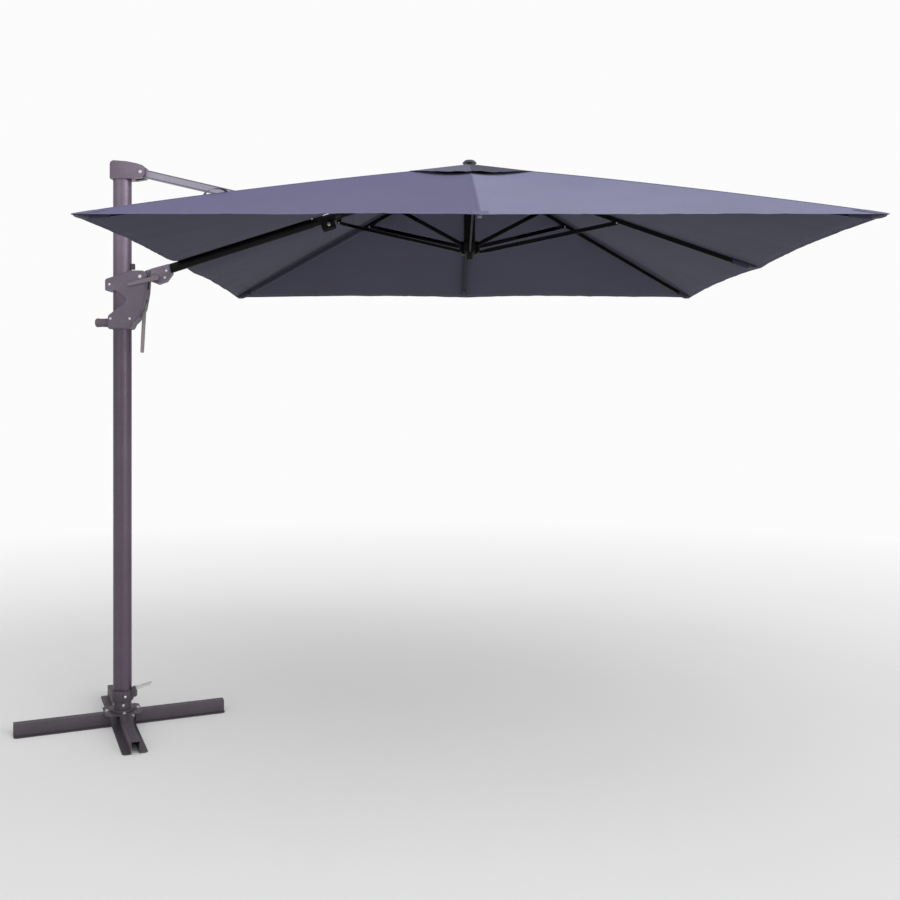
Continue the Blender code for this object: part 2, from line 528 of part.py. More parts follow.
def build_ribs():
    meshes = {}
    for tier, (_, joint_r, joint, foot, reach) in TIERS.items():
        slope = math.atan2(APEX_Z - HEM_Z, HALF * (1 if tier == "mid" else math.sqrt(2)))
        start, length = -0.0095, (reach - RIB_PIVOT_R) / math.cos(slope)
        deep, wide = RIB_DEPTH / 2, RIB_WIDTH / 2
        lean = Matrix.Rotation(slope, 4, "Y")
        bar = box("rib_" + tier, (start, -wide, -deep), (length, wide, deep), BLACK_PAINT)
        bore = box("cut_rib_bore_" + tier, (0.05, -wide + RIB_WALL, -deep + RIB_WALL),
                   (length + 0.01, wide - RIB_WALL, deep - RIB_WALL), None, cutters)
        for made in (bar, bore):
            made.data.transform(lean)
        # the stay reaches from the rib's joint to the runner, with its origin on the rib's joint
        run, drop = STAY_FOOT_R - joint_r, foot - joint
        span, tilt = math.hypot(run, drop), math.atan2(-drop, -run)
        half, end = STAY_DEPTH / 2, 0.0060
        side = [(-0.030, -half), (-0.030, half), (-span + 0.045, half), (-span, end),
                *arc((-span, 0), end, 110, 250, 6), (-span, -end), (-span + 0.045, -half)]
        stay = plate("stay_" + tier, side, STAY_WIDTH / 2, None, BLACK_PAINT)
        cheek = [(-0.075, -half + 0.001), *arc((0, 0), half - 0.001, -90, 90, 6), (-0.075, half - 0.001)]
        fork = plate("add_stay_fork_" + tier, cheek, wide + 0.0033, None, None, cutters)
        room = box("cut_stay_room_" + tier, (-0.048, -wide - 0.0008, -0.03), (0.03, wide + 0.0008, 0.03),
                   None, cutters)
        for made in (stay, fork, room):
            made.data.transform(Matrix.Rotation(-tilt, 4, "Y"))
        meshes[tier] = (bar, bore, stay, fork, room)
    for name, angle, tier in RIBS:
        bar, bore, stay, fork, room = meshes[tier]
        top, joint_r, joint, _, _ = TIERS[tier]
        at_hub = canopy_place(angle, RIB_PIVOT_R, top)
        at_joint = canopy_place(angle, joint_r, joint)
        body("rib_" + name, at_hub.translation, "head")
        body("stay_" + name, at_joint.translation, "rib_" + name)
        for kind, mesh_from, extras, place in (("rib_", bar, (bore,), at_hub),
                                               ("stay_", stay, (fork, room), at_joint)):
            made = adopt(kind + name, mesh_from.data.copy(), BLACK_PAINT)
            made.matrix_world = place
            for extra in extras:
                tool = adopt(extra.name.rsplit("_", 1)[0] + "_" + name, extra.data.copy(), None, cutters)
                tool.matrix_world = place
                if extra is fork:
                    join(made, tool)
                else:
                    cut(made, tool)
            belong(kind + name, made)
    for group in meshes.values():
        for made in group:
            bpy.data.objects.remove(made, do_unlink=True)


def build_runner():
    runner = turned("runner", [
        (0, RUNNER_TOP), (0.0460, RUNNER_TOP), (RUNNER_R, RUNNER_TOP - 0.006),
        (RUNNER_R, RUNNER_LOW + 0.010), (0.0420, RUNNER_LOW), (0.0160, RUNNER_LOW),
        (0.0160, RUNNER_LOW - 0.020), (0.0130, RUNNER_LOW - 0.025), (0, RUNNER_LOW - 0.025)],
        BLACK_PAINT, canopy_place(), steps=48)
    for name, angle, _ in RIBS:
        slot = box("cut_runner_" + name, (0.0190, -0.0068, 2.25), (0.08, 0.0068, 2.45), None, cutters)
        slot.matrix_world = canopy_place(angle)
        cut(runner, slot)
    gate = box("cut_runner_gate", (LINK_FOOT.x - 0.06, -0.0060, 2.25), (CANOPY_X + 0.0100, 0.0060, 2.45),
               None, cutters)
    cut(runner, gate)
    belong("runner", runner)


def build_link():
    run, drop = LINK_FOOT.x - LINK_TOP.x, LINK_FOOT.z - LINK_TOP.z
    span, tilt = math.hypot(run, drop), math.atan2(-drop, run)
    half = 0.0075
    side = [(0.020, half), (0.020, -half), (span - 0.030, -half), *arc((span, 0), 0.0055, -90, 90, 6),
            (span - 0.030, half)]
    link = plate("link", side, 0.0045, None, BLACK_PAINT)
    cheek = [(0.050, half - 0.001), *arc((0, 0), half - 0.001, 90, 270, 6), (0.050, -half + 0.001)]
    fork = plate("add_link_fork", cheek, 0.0075, None, None, cutters)
    room = box("cut_link_room", (-0.02, -0.0042, -0.03), (0.032, 0.0042, 0.03), None, cutters)
    for made in (link, fork, room):
        made.data.transform(Matrix.Rotation(tilt, 4, "Y"))
        made.data.transform(Matrix.Translation(LINK_TOP))
    join(link, fork)
    cut(link, room)
    belong("link", link)


# ---------------------------------------------------------------- canopy cloth
FACE_SLOPE = (APEX_Z - HEM_Z) / HALF


def face_sheet(name, near, far, first, last, lift=0.0, paint=None, collection=cutters, inset=0.00025,
               low_y=None):
    """A flat sheet on one face of the canopy, between two distances from the axis and two angles.

    It is drawn with the face looking along +X, then lifted on to the face's slope.
    """
    def corner(distance, angle, side):
        return distance, distance * math.tan(math.radians(angle)) + side * inset
    outline = [corner(near, first, 1), corner(far, first, 1), corner(far, last, -1),
               corner(near, last, -1)]
    if low_y is not None:
        outline = [(x, max(y, low_y)) for x, y in outline]
    sheet = plate(name, outline, CLOTH / 2, flat(0), paint, collection)
    for vertex in sheet.data.vertices:
        vertex.co.z += APEX_Z + lift - FACE_SLOPE * vertex.co.x - CLOTH / 2
    return sheet


def seam_tape(name, y=0.0):
    """A strip that sews the vent flap to the canopy over the vent opening's edge."""
    tape = box(name, (VENT_HOLE + 0.004, y - 0.006, -CLOTH / 2), (VENT_FLAP - 0.004, y + 0.006,
               FLAP_RISE - CLOTH / 2), None, cutters)
    for vertex in tape.data.vertices:
        vertex.co.z += APEX_Z - FACE_SLOPE * vertex.co.x
    return tape


def build_cloth():
    for name, angle, tier in [*RIBS, ("left", 180, "boom")]:
        sheets = []
        if tier == "mid":
            sheets = [face_sheet("canopy_" + name, VENT_HOLE, HALF, -22.5, 22.5, 0, CLOTH_BLUE, parts),
                      face_sheet("add_flap_" + name, 0.016, VENT_FLAP, -22.5, 22.5, FLAP_RISE),
                      seam_tape("add_tape_" + name)]
        elif tier == "corner":
            sheets = [face_sheet("canopy_" + name, VENT_HOLE, HALF, -47, -22.5, 0, CLOTH_BLUE, parts),
                      face_sheet("add_flap_" + name, 0.016, VENT_FLAP, -47, -22.5, FLAP_RISE),
                      seam_tape("add_tape_" + name, -TAPE_SIDE)]
            for sheet in sheets:
                sheet.data.transform(Matrix.Rotation(math.radians(45), 4, "Z"))
        else:
            sheets = [face_sheet("canopy_" + name, 0.016, VENT_FLAP, -22.5, 22.5, FLAP_RISE, CLOTH_BLUE,
                                 parts)]
            for side in (-1, 1):
                half = face_sheet("add_left_%d" % side, VENT_HOLE, HALF, 0, 22.5, 0, None, cutters,
                                  low_y=0.050)
                tape = seam_tape("add_left_tape_%d" % side, 0.065)
                if side < 0:
                    for made in (half, tape):
                        made.data.transform(Matrix.Diagonal((1, -1, 1, 1)))
                        made.data.flip_normals()
                sheets += [tape, half]
            arch = [(-0.056, 0), (-0.034, 0.038), (0.034, 0.038), (0.056, 0), (0.0545, -CLOTH),
                    (0.0335, 0.0368), (-0.0335, 0.0368), (-0.0545, -CLOTH)]
            stand = Matrix(((0, 0, 1, HALF - 0.025), (1, 0, 0, 0), (0, 1, 0, 0), (0, 0, 0, 1)))
            bridge = plate("add_hem_bridge", arch, 0.0249, stand, None, cutters)
            for vertex in bridge.data.vertices:
                vertex.co.z += APEX_Z - FACE_SLOPE * vertex.co.x
            sheets.append(bridge)
        place = canopy_place(angle)
        main, others = sheets[0], sheets[1:]
        if tier == "corner":
            for sheet in sheets:
                mirror = sheet.modifiers.new("mirror", "MIRROR")
                mirror.use_axis = (False, True, False)
                mirror.use_bisect_axis = (False, True, False)
                mirror.use_bisect_flip_axis = (False, False, False)
                mirror.merge_threshold = 0.0001
        owner = "boom" if tier == "boom" else "rib_" + name
        for sheet in sheets:
            sheet.matrix_world = place
        join(main, *others)
        belong(owner, main)


def build_all():
    body("base", (0, 0, 0))
    body("mast", (0, 0, MAST_BOTTOM), "base")
    body("pedal", (0.0640, 0, 0.1690), "mast")
    body("strut", HEAD_PIN, "mast")
    body("arm", BOOM_PIN, "strut")
    body("tilt_lever", (0.1840, 0, 2.2020), "arm")
    body("carriage", CARRIAGE_PIN, "arm")
    body("lock_lever", (0.1100, 0, 2.0735), "carriage")
    body("boom", on_boom(BOOM_START), "arm")
    body("link", LINK_TOP, "boom")
    body("head", BOOM_HEAD, "boom")
    build_foot()
    build_mast()
    build_strut()
    build_arm()
    build_carriage()
    build_boom()
    build_head()
    build_ribs()
    runner_pivot = canopy_place(45, STAY_FOOT_R, TIERS["corner"][3]).translation
    body("runner", runner_pivot, "stay_back_right")
    build_runner()
    build_link()
    build_cloth()


build_all()
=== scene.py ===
"""A cantilever parasol with a square vented canopy, dressed for its portrait.

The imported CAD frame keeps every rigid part. This script gives the frame its paint, puts the sewn
cover in place of the plain cloth solids, adds the small hardware, and lights it for the camera.
"""
import json
import math

import bmesh
import bpy
from mathutils import Matrix, Vector, noise


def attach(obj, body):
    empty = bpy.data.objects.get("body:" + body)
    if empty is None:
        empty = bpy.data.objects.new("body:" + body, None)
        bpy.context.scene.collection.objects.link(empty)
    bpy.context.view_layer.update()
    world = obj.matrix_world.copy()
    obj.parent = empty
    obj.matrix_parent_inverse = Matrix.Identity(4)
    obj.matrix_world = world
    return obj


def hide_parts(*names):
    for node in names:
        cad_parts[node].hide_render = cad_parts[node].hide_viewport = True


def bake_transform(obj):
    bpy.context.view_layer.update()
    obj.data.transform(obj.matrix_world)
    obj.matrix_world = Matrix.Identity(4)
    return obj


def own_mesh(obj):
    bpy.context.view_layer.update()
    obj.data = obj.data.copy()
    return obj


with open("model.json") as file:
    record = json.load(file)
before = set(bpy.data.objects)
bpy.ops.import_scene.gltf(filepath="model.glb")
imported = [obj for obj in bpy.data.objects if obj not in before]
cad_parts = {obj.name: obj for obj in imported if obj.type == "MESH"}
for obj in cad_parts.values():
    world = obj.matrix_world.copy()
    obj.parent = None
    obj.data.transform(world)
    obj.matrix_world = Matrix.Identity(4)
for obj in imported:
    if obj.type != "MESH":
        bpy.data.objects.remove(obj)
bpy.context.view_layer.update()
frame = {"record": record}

# ---------------------------------------------------------------- the canopy's own numbers, in metres
AXIS_X = 1.725                   # upright axis of the canopy
APEX = 2.760                     # height where its four faces would meet
HALF = 1.45                      # from the axis to the middle of a side
SLOPE = 0.502 / HALF             # fall of a face
VENT = 0.22                      # half size of the vent's opening
FLAP = 0.29                      # half size of the flap over it
EYE = 0.017                      # half size of the flap's eye, under the finial
FLAP_RISE = 0.014                # how far the flap stands over the cover
THICK = 0.0008                   # thickness of the cloth
HEM, VENT_HEM = 0.024, 0.018     # width of the cover's two hems
FLAP_HEM, EYE_HEM = 0.016, 0.010    # and of the flap's
HEM_STEP = 0.0005                # how far a hem stands out on each side of the cloth
SCALLOP = 0.026                  # how far the hem curves in between two ribs
SAG = 0.013                      # how far the cloth sinks between two ribs
HEM_SINK = 0.0025                # and how far its hem does
BOW = 0.016                      # how far the corner seams arch over their ribs
SLACK, PLEAT, RIPPLE = 0.0042, 0.0019, 0.0022    # uneven heights: broad, towards the tips, along the hem
HEAD_PIN = Vector((0.0999, 0, 2.7270))        # strut on the mast's cap
CARRIAGE_PIN = Vector((0.0999, 0, 2.2097))    # boom on the carriage
BOOM_PIN = Vector((1.0298, 0, 2.46835))       # strut's fork on the boom's bracket
STRUT_FALL = 0.232               # fall of the strut for each metre along
RIBS = {"right": 0, "back_right": 45, "back": 90, "back_left": 135, "front_left": 225, "front": 270,
        "front_right": 315}
CORNERS = ("back_right", "back_left", "front_left", "front_right")
RIDGE = 45                       # degrees from the middle of a face to the seam over a corner rib
SECTOR = RIDGE / 2               # degrees from a rib to the edge of its sheet
HUB_RADIUS = 0.060               # from the axis to the ribs' pivots
# of each kind of rib: the stay's joint on it (out from the axis, and up), its hub pivot's height, its reach
PIVOT = {"mid": (0.7305, 2.4806, 2.7240, 1.375), "corner": (0.7480, 2.5533, 2.7307, 1.980)}
SLIT = (0.545, 0.795)            # ends of the strut's opening, out from the axis along the left face
SLIT_HALF = 0.043                # its greatest half width


def tier(rib):
    return "corner" if rib in CORNERS else "mid"


# ---------------------------------------------------------------- node helpers
class Nodes:
    """A material's node tree, with short calls for the nodes that are used here."""

    def __init__(self, name):
        self.material = bpy.data.materials.new(name)
        self.material.use_nodes = True
        self.tree = self.material.node_tree
        self.shader = self.tree.nodes["Principled BSDF"]

    def link(self, source, target):
        self.tree.links.new(source, target)

    def set(self, **values):
        for key, value in values.items():
            self.shader.inputs[key.replace("_", " ")].default_value = value

    def coords(self, scale=(1, 1, 1), kind="Object"):
        source = self.tree.nodes.new("ShaderNodeTexCoord")
        mapping = self.tree.nodes.new("ShaderNodeMapping")
        mapping.inputs["Scale"].default_value = scale
        self.link(source.outputs[kind], mapping.inputs["Vector"])
        return mapping.outputs["Vector"]

    def noise(self, vector, scale, detail=2.0, rough=0.5):
        node = self.tree.nodes.new("ShaderNodeTexNoise")
        node.inputs["Scale"].default_value = scale
        node.inputs["Detail"].default_value = detail
        node.inputs["Roughness"].default_value = rough
        self.link(vector, node.inputs["Vector"])
        return node.outputs["Fac"]

    def spread(self, value, low, high, to_low, to_high):
        """A value moved from one range to another, and held inside it."""
        node = self.tree.nodes.new("ShaderNodeMapRange")
        self.link(value, node.inputs["Value"])
        for key, number in (("From Min", low), ("From Max", high), ("To Min", to_low), ("To Max", to_high)):
            node.inputs[key].default_value = number
        return node.outputs["Result"]

    def math(self, operation, first, second=None, third=None):
        node = self.tree.nodes.new("ShaderNodeMath")
        node.operation = operation
        for slot, value in zip(node.inputs, (first, second, third)):
            if isinstance(value, (int, float)):
                slot.default_value = value
            elif value is not None:
                self.link(value, slot)
        return node.outputs["Value"]

    def mix(self, factor, first, second, kind="MIX"):
        node = self.tree.nodes.new("ShaderNodeMix")
        node.data_type = "RGBA"
        node.blend_type = kind
        for index, value in ((0, factor), (6, first), (7, second)):
            if isinstance(value, (int, float, tuple)):
                node.inputs[index].default_value = value
            else:
                self.link(value, node.inputs[index])
        return node.outputs[2]

    def grey(self, value):
        node = self.tree.nodes.new("ShaderNodeCombineColor")
        for slot in node.inputs:
            self.link(value, slot)
        return node.outputs["Color"]

    def bump(self, height, distance, strength=1.0, after=None):
        node = self.tree.nodes.new("ShaderNodeBump")
        node.inputs["Distance"].default_value = distance
        node.inputs["Strength"].default_value = strength
        self.link(height, node.inputs["Height"])
        if after is not None:
            self.link(after, node.inputs["Normal"])
        return node.outputs["Normal"]

    def attribute(self, name):
        node = self.tree.nodes.new("ShaderNodeAttribute")
        node.attribute_name = name
        return node.outputs["Fac"]


def linear(red, green, blue):
    """A colour given as it looks on a screen, from 0 to 255, as the shader takes it."""
    def curve(value):
        value /= 255
        return value / 12.92 if value <= 0.04045 else ((value + 0.055) / 1.055) ** 2.4
    return curve(red), curve(green), curve(blue), 1.0


# ---------------------------------------------------------------- materials
def paint(name, colour, roughness, metallic=0.0, peel=0.00012, streaks=False, worn=0.5, gloss=0.5, lit_top=1.0):
    """Baked powder paint: orange peel, faint stains, edges rubbed paler, and where asked a paler top that is
    painted light.
    """
    made = Nodes(name)
    place = made.coords()
    stain = made.noise(place, 9.0, 5.0, 0.6)
    shade = made.spread(stain, 0.3, 0.7, 0.90, 1.09)
    if streaks:
        run = made.noise(made.coords((420, 420, 1.4)), 1.0, 3.0)
        shade = made.math("MULTIPLY", shade, made.spread(run, 0.3, 0.7, 0.955, 1.045))
    # painted light: from 2.05 m up to 2.35 m the colour grows paler by the given factor, standing for the
    # light on the top
    if lit_top != 1.0:
        height = made.tree.nodes.new("ShaderNodeSeparateXYZ")
        made.link(place, height.inputs["Vector"])
        shade = made.math("MULTIPLY", shade, made.spread(height.outputs["Z"], 2.05, 2.35, 1.0, lit_top))
    base = made.mix(1.0, colour, made.grey(shade), "MULTIPLY")
    geometry = made.tree.nodes.new("ShaderNodeNewGeometry")
    edge = made.spread(geometry.outputs["Pointiness"], 0.53, 0.62, 0.0, worn)
    chips = made.spread(made.noise(place, 120.0, 4.0, 0.7), 0.42, 0.62, 0.15, 1.0)
    pale = tuple(min(1.0, 1.9 * channel + 0.03) for channel in colour[:3]) + (1.0,)
    base = made.mix(made.math("MULTIPLY", edge, chips), base, pale)
    made.link(base, made.shader.inputs["Base Color"])
    rub = made.noise(place, 38.0, 4.0, 0.65)
    made.link(made.spread(rub, 0.3, 0.7, roughness - 0.06, roughness + 0.09), made.shader.inputs["Roughness"])
    made.set(Metallic=metallic, Specular_IOR_Level=gloss)
    grain = made.noise(place, 620.0, 2.0, 0.55)
    made.link(made.bump(grain, peel, 0.6), made.shader.inputs["Normal"])
    return made.material


def plastic(name, colour, roughness, spark=0.00010, gloss=0.5):
    """Moulded plastic with a spark-eroded grain."""
    made = Nodes(name)
    place = made.coords()
    fine = made.noise(place, 1500.0, 2.0, 0.6)
    cloud = made.noise(place, 22.0, 4.0, 0.6)
    shade = made.spread(cloud, 0.3, 0.7, 0.90, 1.12)
    made.link(made.mix(1.0, colour, made.grey(shade), "MULTIPLY"), made.shader.inputs["Base Color"])
    rough = made.spread(cloud, 0.3, 0.7, roughness - 0.05, roughness + 0.08)
    made.link(rough, made.shader.inputs["Roughness"])
    made.set(Specular_IOR_Level=gloss)
    made.link(made.bump(fine, spark, 0.7), made.shader.inputs["Normal"])
    return made.material


def zinc(name, colour, roughness):
    """Zinc-plated steel: cloudy spangle and turned marks."""
    made = Nodes(name)
    place = made.coords()
    spangle = made.tree.nodes.new("ShaderNodeTexVoronoi")
    spangle.inputs["Scale"].default_value = 260.0
    made.link(place, spangle.inputs["Vector"])
    shade = made.spread(spangle.outputs["Distance"], 0.0, 0.8, 0.86, 1.08)
    made.link(made.mix(1.0, colour, made.grey(shade), "MULTIPLY"), made.shader.inputs["Base Color"])
    made.set(Metallic=1.0)
    cloud = made.noise(place, 90.0, 4.0, 0.6)
    rough = made.spread(cloud, 0.3, 0.7, roughness - 0.08, roughness + 0.12)
    made.link(rough, made.shader.inputs["Roughness"])
    made.link(made.bump(made.noise(place, 900.0, 2.0), 0.00006, 0.6), made.shader.inputs["Normal"])
    return made.material


THREAD = 0.0011                  # one over-and-under of the weave
STITCH = 0.0045                  # from one stitch to the next
SEAM_ROWS = (HALF - 0.0035, HALF - HEM + 0.003, VENT + 0.003, VENT + VENT_HEM - 0.003)    # out from the axis


def cloth(name, shaded, lit, roughness, sheen, slubs=0.05, stitched=True):
    """Woven polyester: a plain weave in the cloth's own metres, slubs, soft fading, and hem stitching.

    The sheets carry uv maps in metres, sideways and outwards, and for each half of a face a share of painted
    light that mixes the cloth's shaded colour with its lit one.
    """
    made = Nodes(name)
    flat = made.coords(kind="UV")
    split = made.tree.nodes.new("ShaderNodeSeparateXYZ")
    made.link(flat, split.inputs["Vector"])
    across, out = split.outputs["X"], split.outputs["Y"]
    turn = 2 * math.pi / THREAD
    warp = made.math("SINE", made.math("MULTIPLY", across, turn))
    weft = made.math("SINE", made.math("MULTIPLY", out, turn))
    weave = made.math("MULTIPLY_ADD", made.math("MULTIPLY", warp, weft), 0.5, 0.5)
    slub_a = made.noise(made.coords((6, 900, 1), "UV"), 1.0, 2.0)
    slub_b = made.noise(made.coords((900, 6, 1), "UV"), 1.0, 2.0)
    thread = made.math("ADD", made.spread(slub_a, 0.3, 0.7, 1 - slubs, 1 + slubs),
                       made.spread(slub_b, 0.3, 0.7, -slubs, slubs))
    fade = made.spread(made.noise(flat, 2.6, 4.0, 0.55), 0.3, 0.7, 0.955, 1.045)
    shade = made.math("MULTIPLY", thread, made.math("MULTIPLY", fade, made.spread(weave, 0, 1, 0.93, 1.05)))
    # painted light and shade: the colour goes from the shaded copy to the lit copy by each face's share
    painted_light = made.mix(made.attribute("painted_light"), shaded, lit)
    base = made.mix(1.0, painted_light, made.grey(shade), "MULTIPLY")
    height = made.math("ADD", weave, made.math("MULTIPLY", slub_a, 0.6))
    if stitched:
        seams = None
        for line in SEAM_ROWS:
            near = made.math("COMPARE", out, line, 0.0007)
            seams = near if seams is None else made.math("MAXIMUM", seams, near)
        dash = made.math("GREATER_THAN", made.math("FRACT", made.math("MULTIPLY", across, 1 / STITCH)), 0.28)
        stitches = made.math("MULTIPLY", seams, dash)
        yarn = tuple(1.35 * channel for channel in shaded[:3]) + (1.0,)
        base = made.mix(made.math("MULTIPLY", stitches, 0.7), base, yarn)
        height = made.math("ADD", height, made.math("MULTIPLY", stitches, 2.0))
    made.link(base, made.shader.inputs["Base Color"])
    rough = made.spread(thread, 0.9, 1.1, roughness - 0.05, roughness + 0.05)
    made.link(rough, made.shader.inputs["Roughness"])
    made.set(Sheen_Weight=sheen, Sheen_Roughness=0.45, Specular_IOR_Level=0.2)
    soft = made.bump(made.noise(flat, 11.0, 3.0, 0.5), 0.0012, 0.35)
    made.link(made.bump(height, 0.00016, 0.55, soft), made.shader.inputs["Normal"])
    return made.material


# painted light: each cloth's first colour is its shaded copy and its second its lit copy, mixed by each half
# face's share
COVER = cloth("cover_cloth", (0.109, 0.098, 0.204, 1), (0.226, 0.226, 0.358, 1), 0.82, 0.06)
# painted shade: the flap is the cover's cloth, given darker copies of its shaded and lit colours
SHADED_FLAP_CLOTH = cloth("flap_cloth_painted_shade", (0.066, 0.061, 0.102, 1), (0.122, 0.124, 0.190, 1), 0.85, 0.05)
# painted shade: the underside is the cover's own cloth, given a much darker colour for the shade beneath the
# canopy
SHADED_CLOTH = cloth("cover_underside_painted_shade", (0.046, 0.045, 0.073, 1), (0.053, 0.052, 0.083, 1), 0.9, 0.03)
TAPE = cloth("seam_tape", (0.110, 0.102, 0.190, 1), (0.180, 0.178, 0.290, 1), 0.85, 0.05, stitched=False)
BINDING = cloth("binding_tape", linear(54, 53, 66), linear(60, 60, 74), 0.9, 0.05, stitched=False)
SLOTS = {
    # painted light: the mast's paint is up to 1.9 times paler above 2.05 m, for the light on its top
    "mast_paint": paint("mast_powder_paint", linear(86, 76, 88), 0.34, 0.6, streaks=True, worn=0.35,
                        lit_top=1.9),
    "foot_paint": paint("foot_powder_paint", linear(72, 64, 73), 0.46, 0.2, 0.00022, worn=0.6),
    "casting": paint("cast_powder_paint", linear(94, 85, 98), 0.5, 0.15, 0.0002, worn=0.5),
    "strut_paint": paint("strut_powder_paint", linear(150, 146, 160), 0.4, 0.3, streaks=False, worn=0.3),
    "black_aluminium": paint("black_powder_paint", linear(5, 6, 8), 0.5, 0.0, 0.0001, worn=0.03, gloss=0.14),
    "bracket_steel": paint("bracket_paint", linear(9, 9, 12), 0.45, 0.1, worn=0.08, gloss=0.3),
    "plastic": plastic("moulded_plastic", linear(54, 51, 57), 0.55),
    "hub_plastic": plastic("hub_moulding", linear(6, 6, 8), 0.5, gloss=0.2),
    "lever_grey": plastic("lever_moulding", linear(130, 126, 127), 0.5),
    "zinc": zinc("zinc_plate", (0.62, 0.62, 0.64, 1.0), 0.34),
}
PURPOSE = {"finial": plastic("finial_moulding", linear(60, 61, 67), 0.42),
           "grip": plastic("grip_rubber", linear(92, 83, 92), 0.62, 0.0002),
           "foot_pedal": plastic("pedal_moulding", linear(193, 189, 190), 0.45),
           "tilt_lever": plastic("tilt_lever_moulding", linear(104, 97, 105), 0.45),
           "strut_fork": SLOTS["bracket_steel"]}


# ---------------------------------------------------------------- refining the CAD parts
def refine(name, material, bevel=0.0008):
    """Give a CAD node a real paint, round highlights on its edges, and smooth curved faces."""
    node = bpy.data.objects[name]
    mesh = node.data
    for stale in ("custom_normal", "sharp_edge"):
        if stale in mesh.attributes:
            mesh.attributes.remove(mesh.attributes[stale])
    mesh.shade_smooth()
    weld = node.modifiers.new("weld", "WELD")
    weld.merge_threshold = 0.00001
    edge = node.modifiers.new("edge", "BEVEL")
    edge.width = bevel
    edge.segments = 2
    edge.limit_method = "ANGLE"
    edge.angle_limit = math.radians(35)
    edge.harden_normals = True
    mesh.materials.clear()
    mesh.materials.append(material)


BEVELS = {"carriage": 0.0030, "knuckle": 0.0022, "head_cap": 0.0016, "grip": 0.0012, "foot_pedal": 0.0014,
          "tilt_lever": 0.0010, "lock_lever": 0.0016, "strut_tube": 0.0030, "strut_fork": 0.0011,
          "finial": 0.0012, "runner": 0.0010, "top_hub": 0.0012}
for row in frame["record"]["subparts"]:
    if not row["node"].startswith("canopy_"):
        chosen = PURPOSE.get(row["node"]) or SLOTS[row["material_slot"]]
        refine(row["node"], chosen, BEVELS.get(row["node"], 0.0007))


# ---------------------------------------------------------------- building new pieces
def finish_piece(name, bm, body, materials, sharp=38):
    """Turn a bmesh into a named piece that rides on a body."""
    mesh = bpy.data.meshes.new(name)
    bmesh.ops.recalc_face_normals(bm, faces=bm.faces)
    bm.to_mesh(mesh)
    bm.free()
    for material in materials:
        mesh.materials.append(material)
    mesh.shade_smooth()
    mesh.set_sharp_from_angle(angle=math.radians(sharp))
    piece = bpy.data.objects.new(name, mesh)
    bpy.context.scene.collection.objects.link(piece)
    if body is not None:
        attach(piece, body)
    return piece


def aim(point, direction):
    """The placement that puts local Z along a direction, from a point."""
    turn = Vector((0, 0, 1)).rotation_difference(Vector(direction)).to_matrix().to_4x4()
    return Matrix.Translation(Vector(point)) @ turn


def lathe(bm, profile, place, steps=20):
    """Add a turned solid: (radius, height) points from the axis below to the axis above."""
    rings = []
    for radius, height in profile:
        if radius == 0:
            rings.append([bm.verts.new(place @ Vector((0, 0, height)))])
        else:
            turns = [2 * math.pi * i / steps for i in range(steps)]
            rings.append([bm.verts.new(place @ Vector((radius * math.cos(t), radius * math.sin(t), height)))
                          for t in turns])
    for low, high in zip(rings, rings[1:]):
        for i in range(steps):
            j = (i + 1) % steps
            corners = [low[i % len(low)], low[j % len(low)], high[j % len(high)], high[i % len(high)]]
            unique = list(dict.fromkeys(corners))
            if len(unique) > 2:
                bm.faces.new(unique)


def loft(bm, sections):
    """Add a solid through closed sections of equal length."""
    rings = [[bm.verts.new(point) for point in section] for section in sections]
    count = len(rings[0])
    for low, high in zip(rings, rings[1:]):
        for i in range(count):
            bm.faces.new((low[i], low[(i + 1) % count], high[(i + 1) % count], high[i]))
    bm.faces.new(list(reversed(rings[0])))
    bm.faces.new(rings[-1])


def rounded_box(place, wide, high, corner, steps=4):
    """A rounded rectangle's points in the placement's local YZ plane."""
    points = []
    for index, (sy, sz) in enumerate(((1, 1), (-1, 1), (-1, -1), (1, -1))):
        for step in range(steps + 1):
            turn = math.radians(90 * (index + step / steps))
            points.append(place @ Vector((0, sy * (wide / 2 - corner) + corner * math.cos(turn),
                                          sz * (high / 2 - corner) + corner * math.sin(turn))))
    return points


# ---------------------------------------------------------------- the cover's surface
def slit_half(u):
    """Half width of the strut's opening in the left face."""
    share = (u - SLIT[0]) / (SLIT[1] - SLIT[0])
    return SLIT_HALF * math.sin(math.pi * share) ** 0.3 if 0 < share < 1 else 0.0


# how far the boom holds the cloth up, at distances out from the axis
DRAPE = ((0.40, 0.0), (0.55, 0.004), (0.62, 0.0128), (0.70, 0.0128), (1.0, 0.0220), (1.45, 0.0348))


def drape(u, side):
    """How far the cloth is held up where it hangs over the boom."""
    lift = 0.0
    for (u0, l0), (u1, l1) in zip(DRAPE, DRAPE[1:]):
        if u0 <= u <= u1:
            lift = l0 + (l1 - l0) * (u - u0) / (u1 - u0)
    reach = 0.30 * u / HALF + 0.05
    return lift * max(0.0, 1 - abs(side) / reach) ** 2


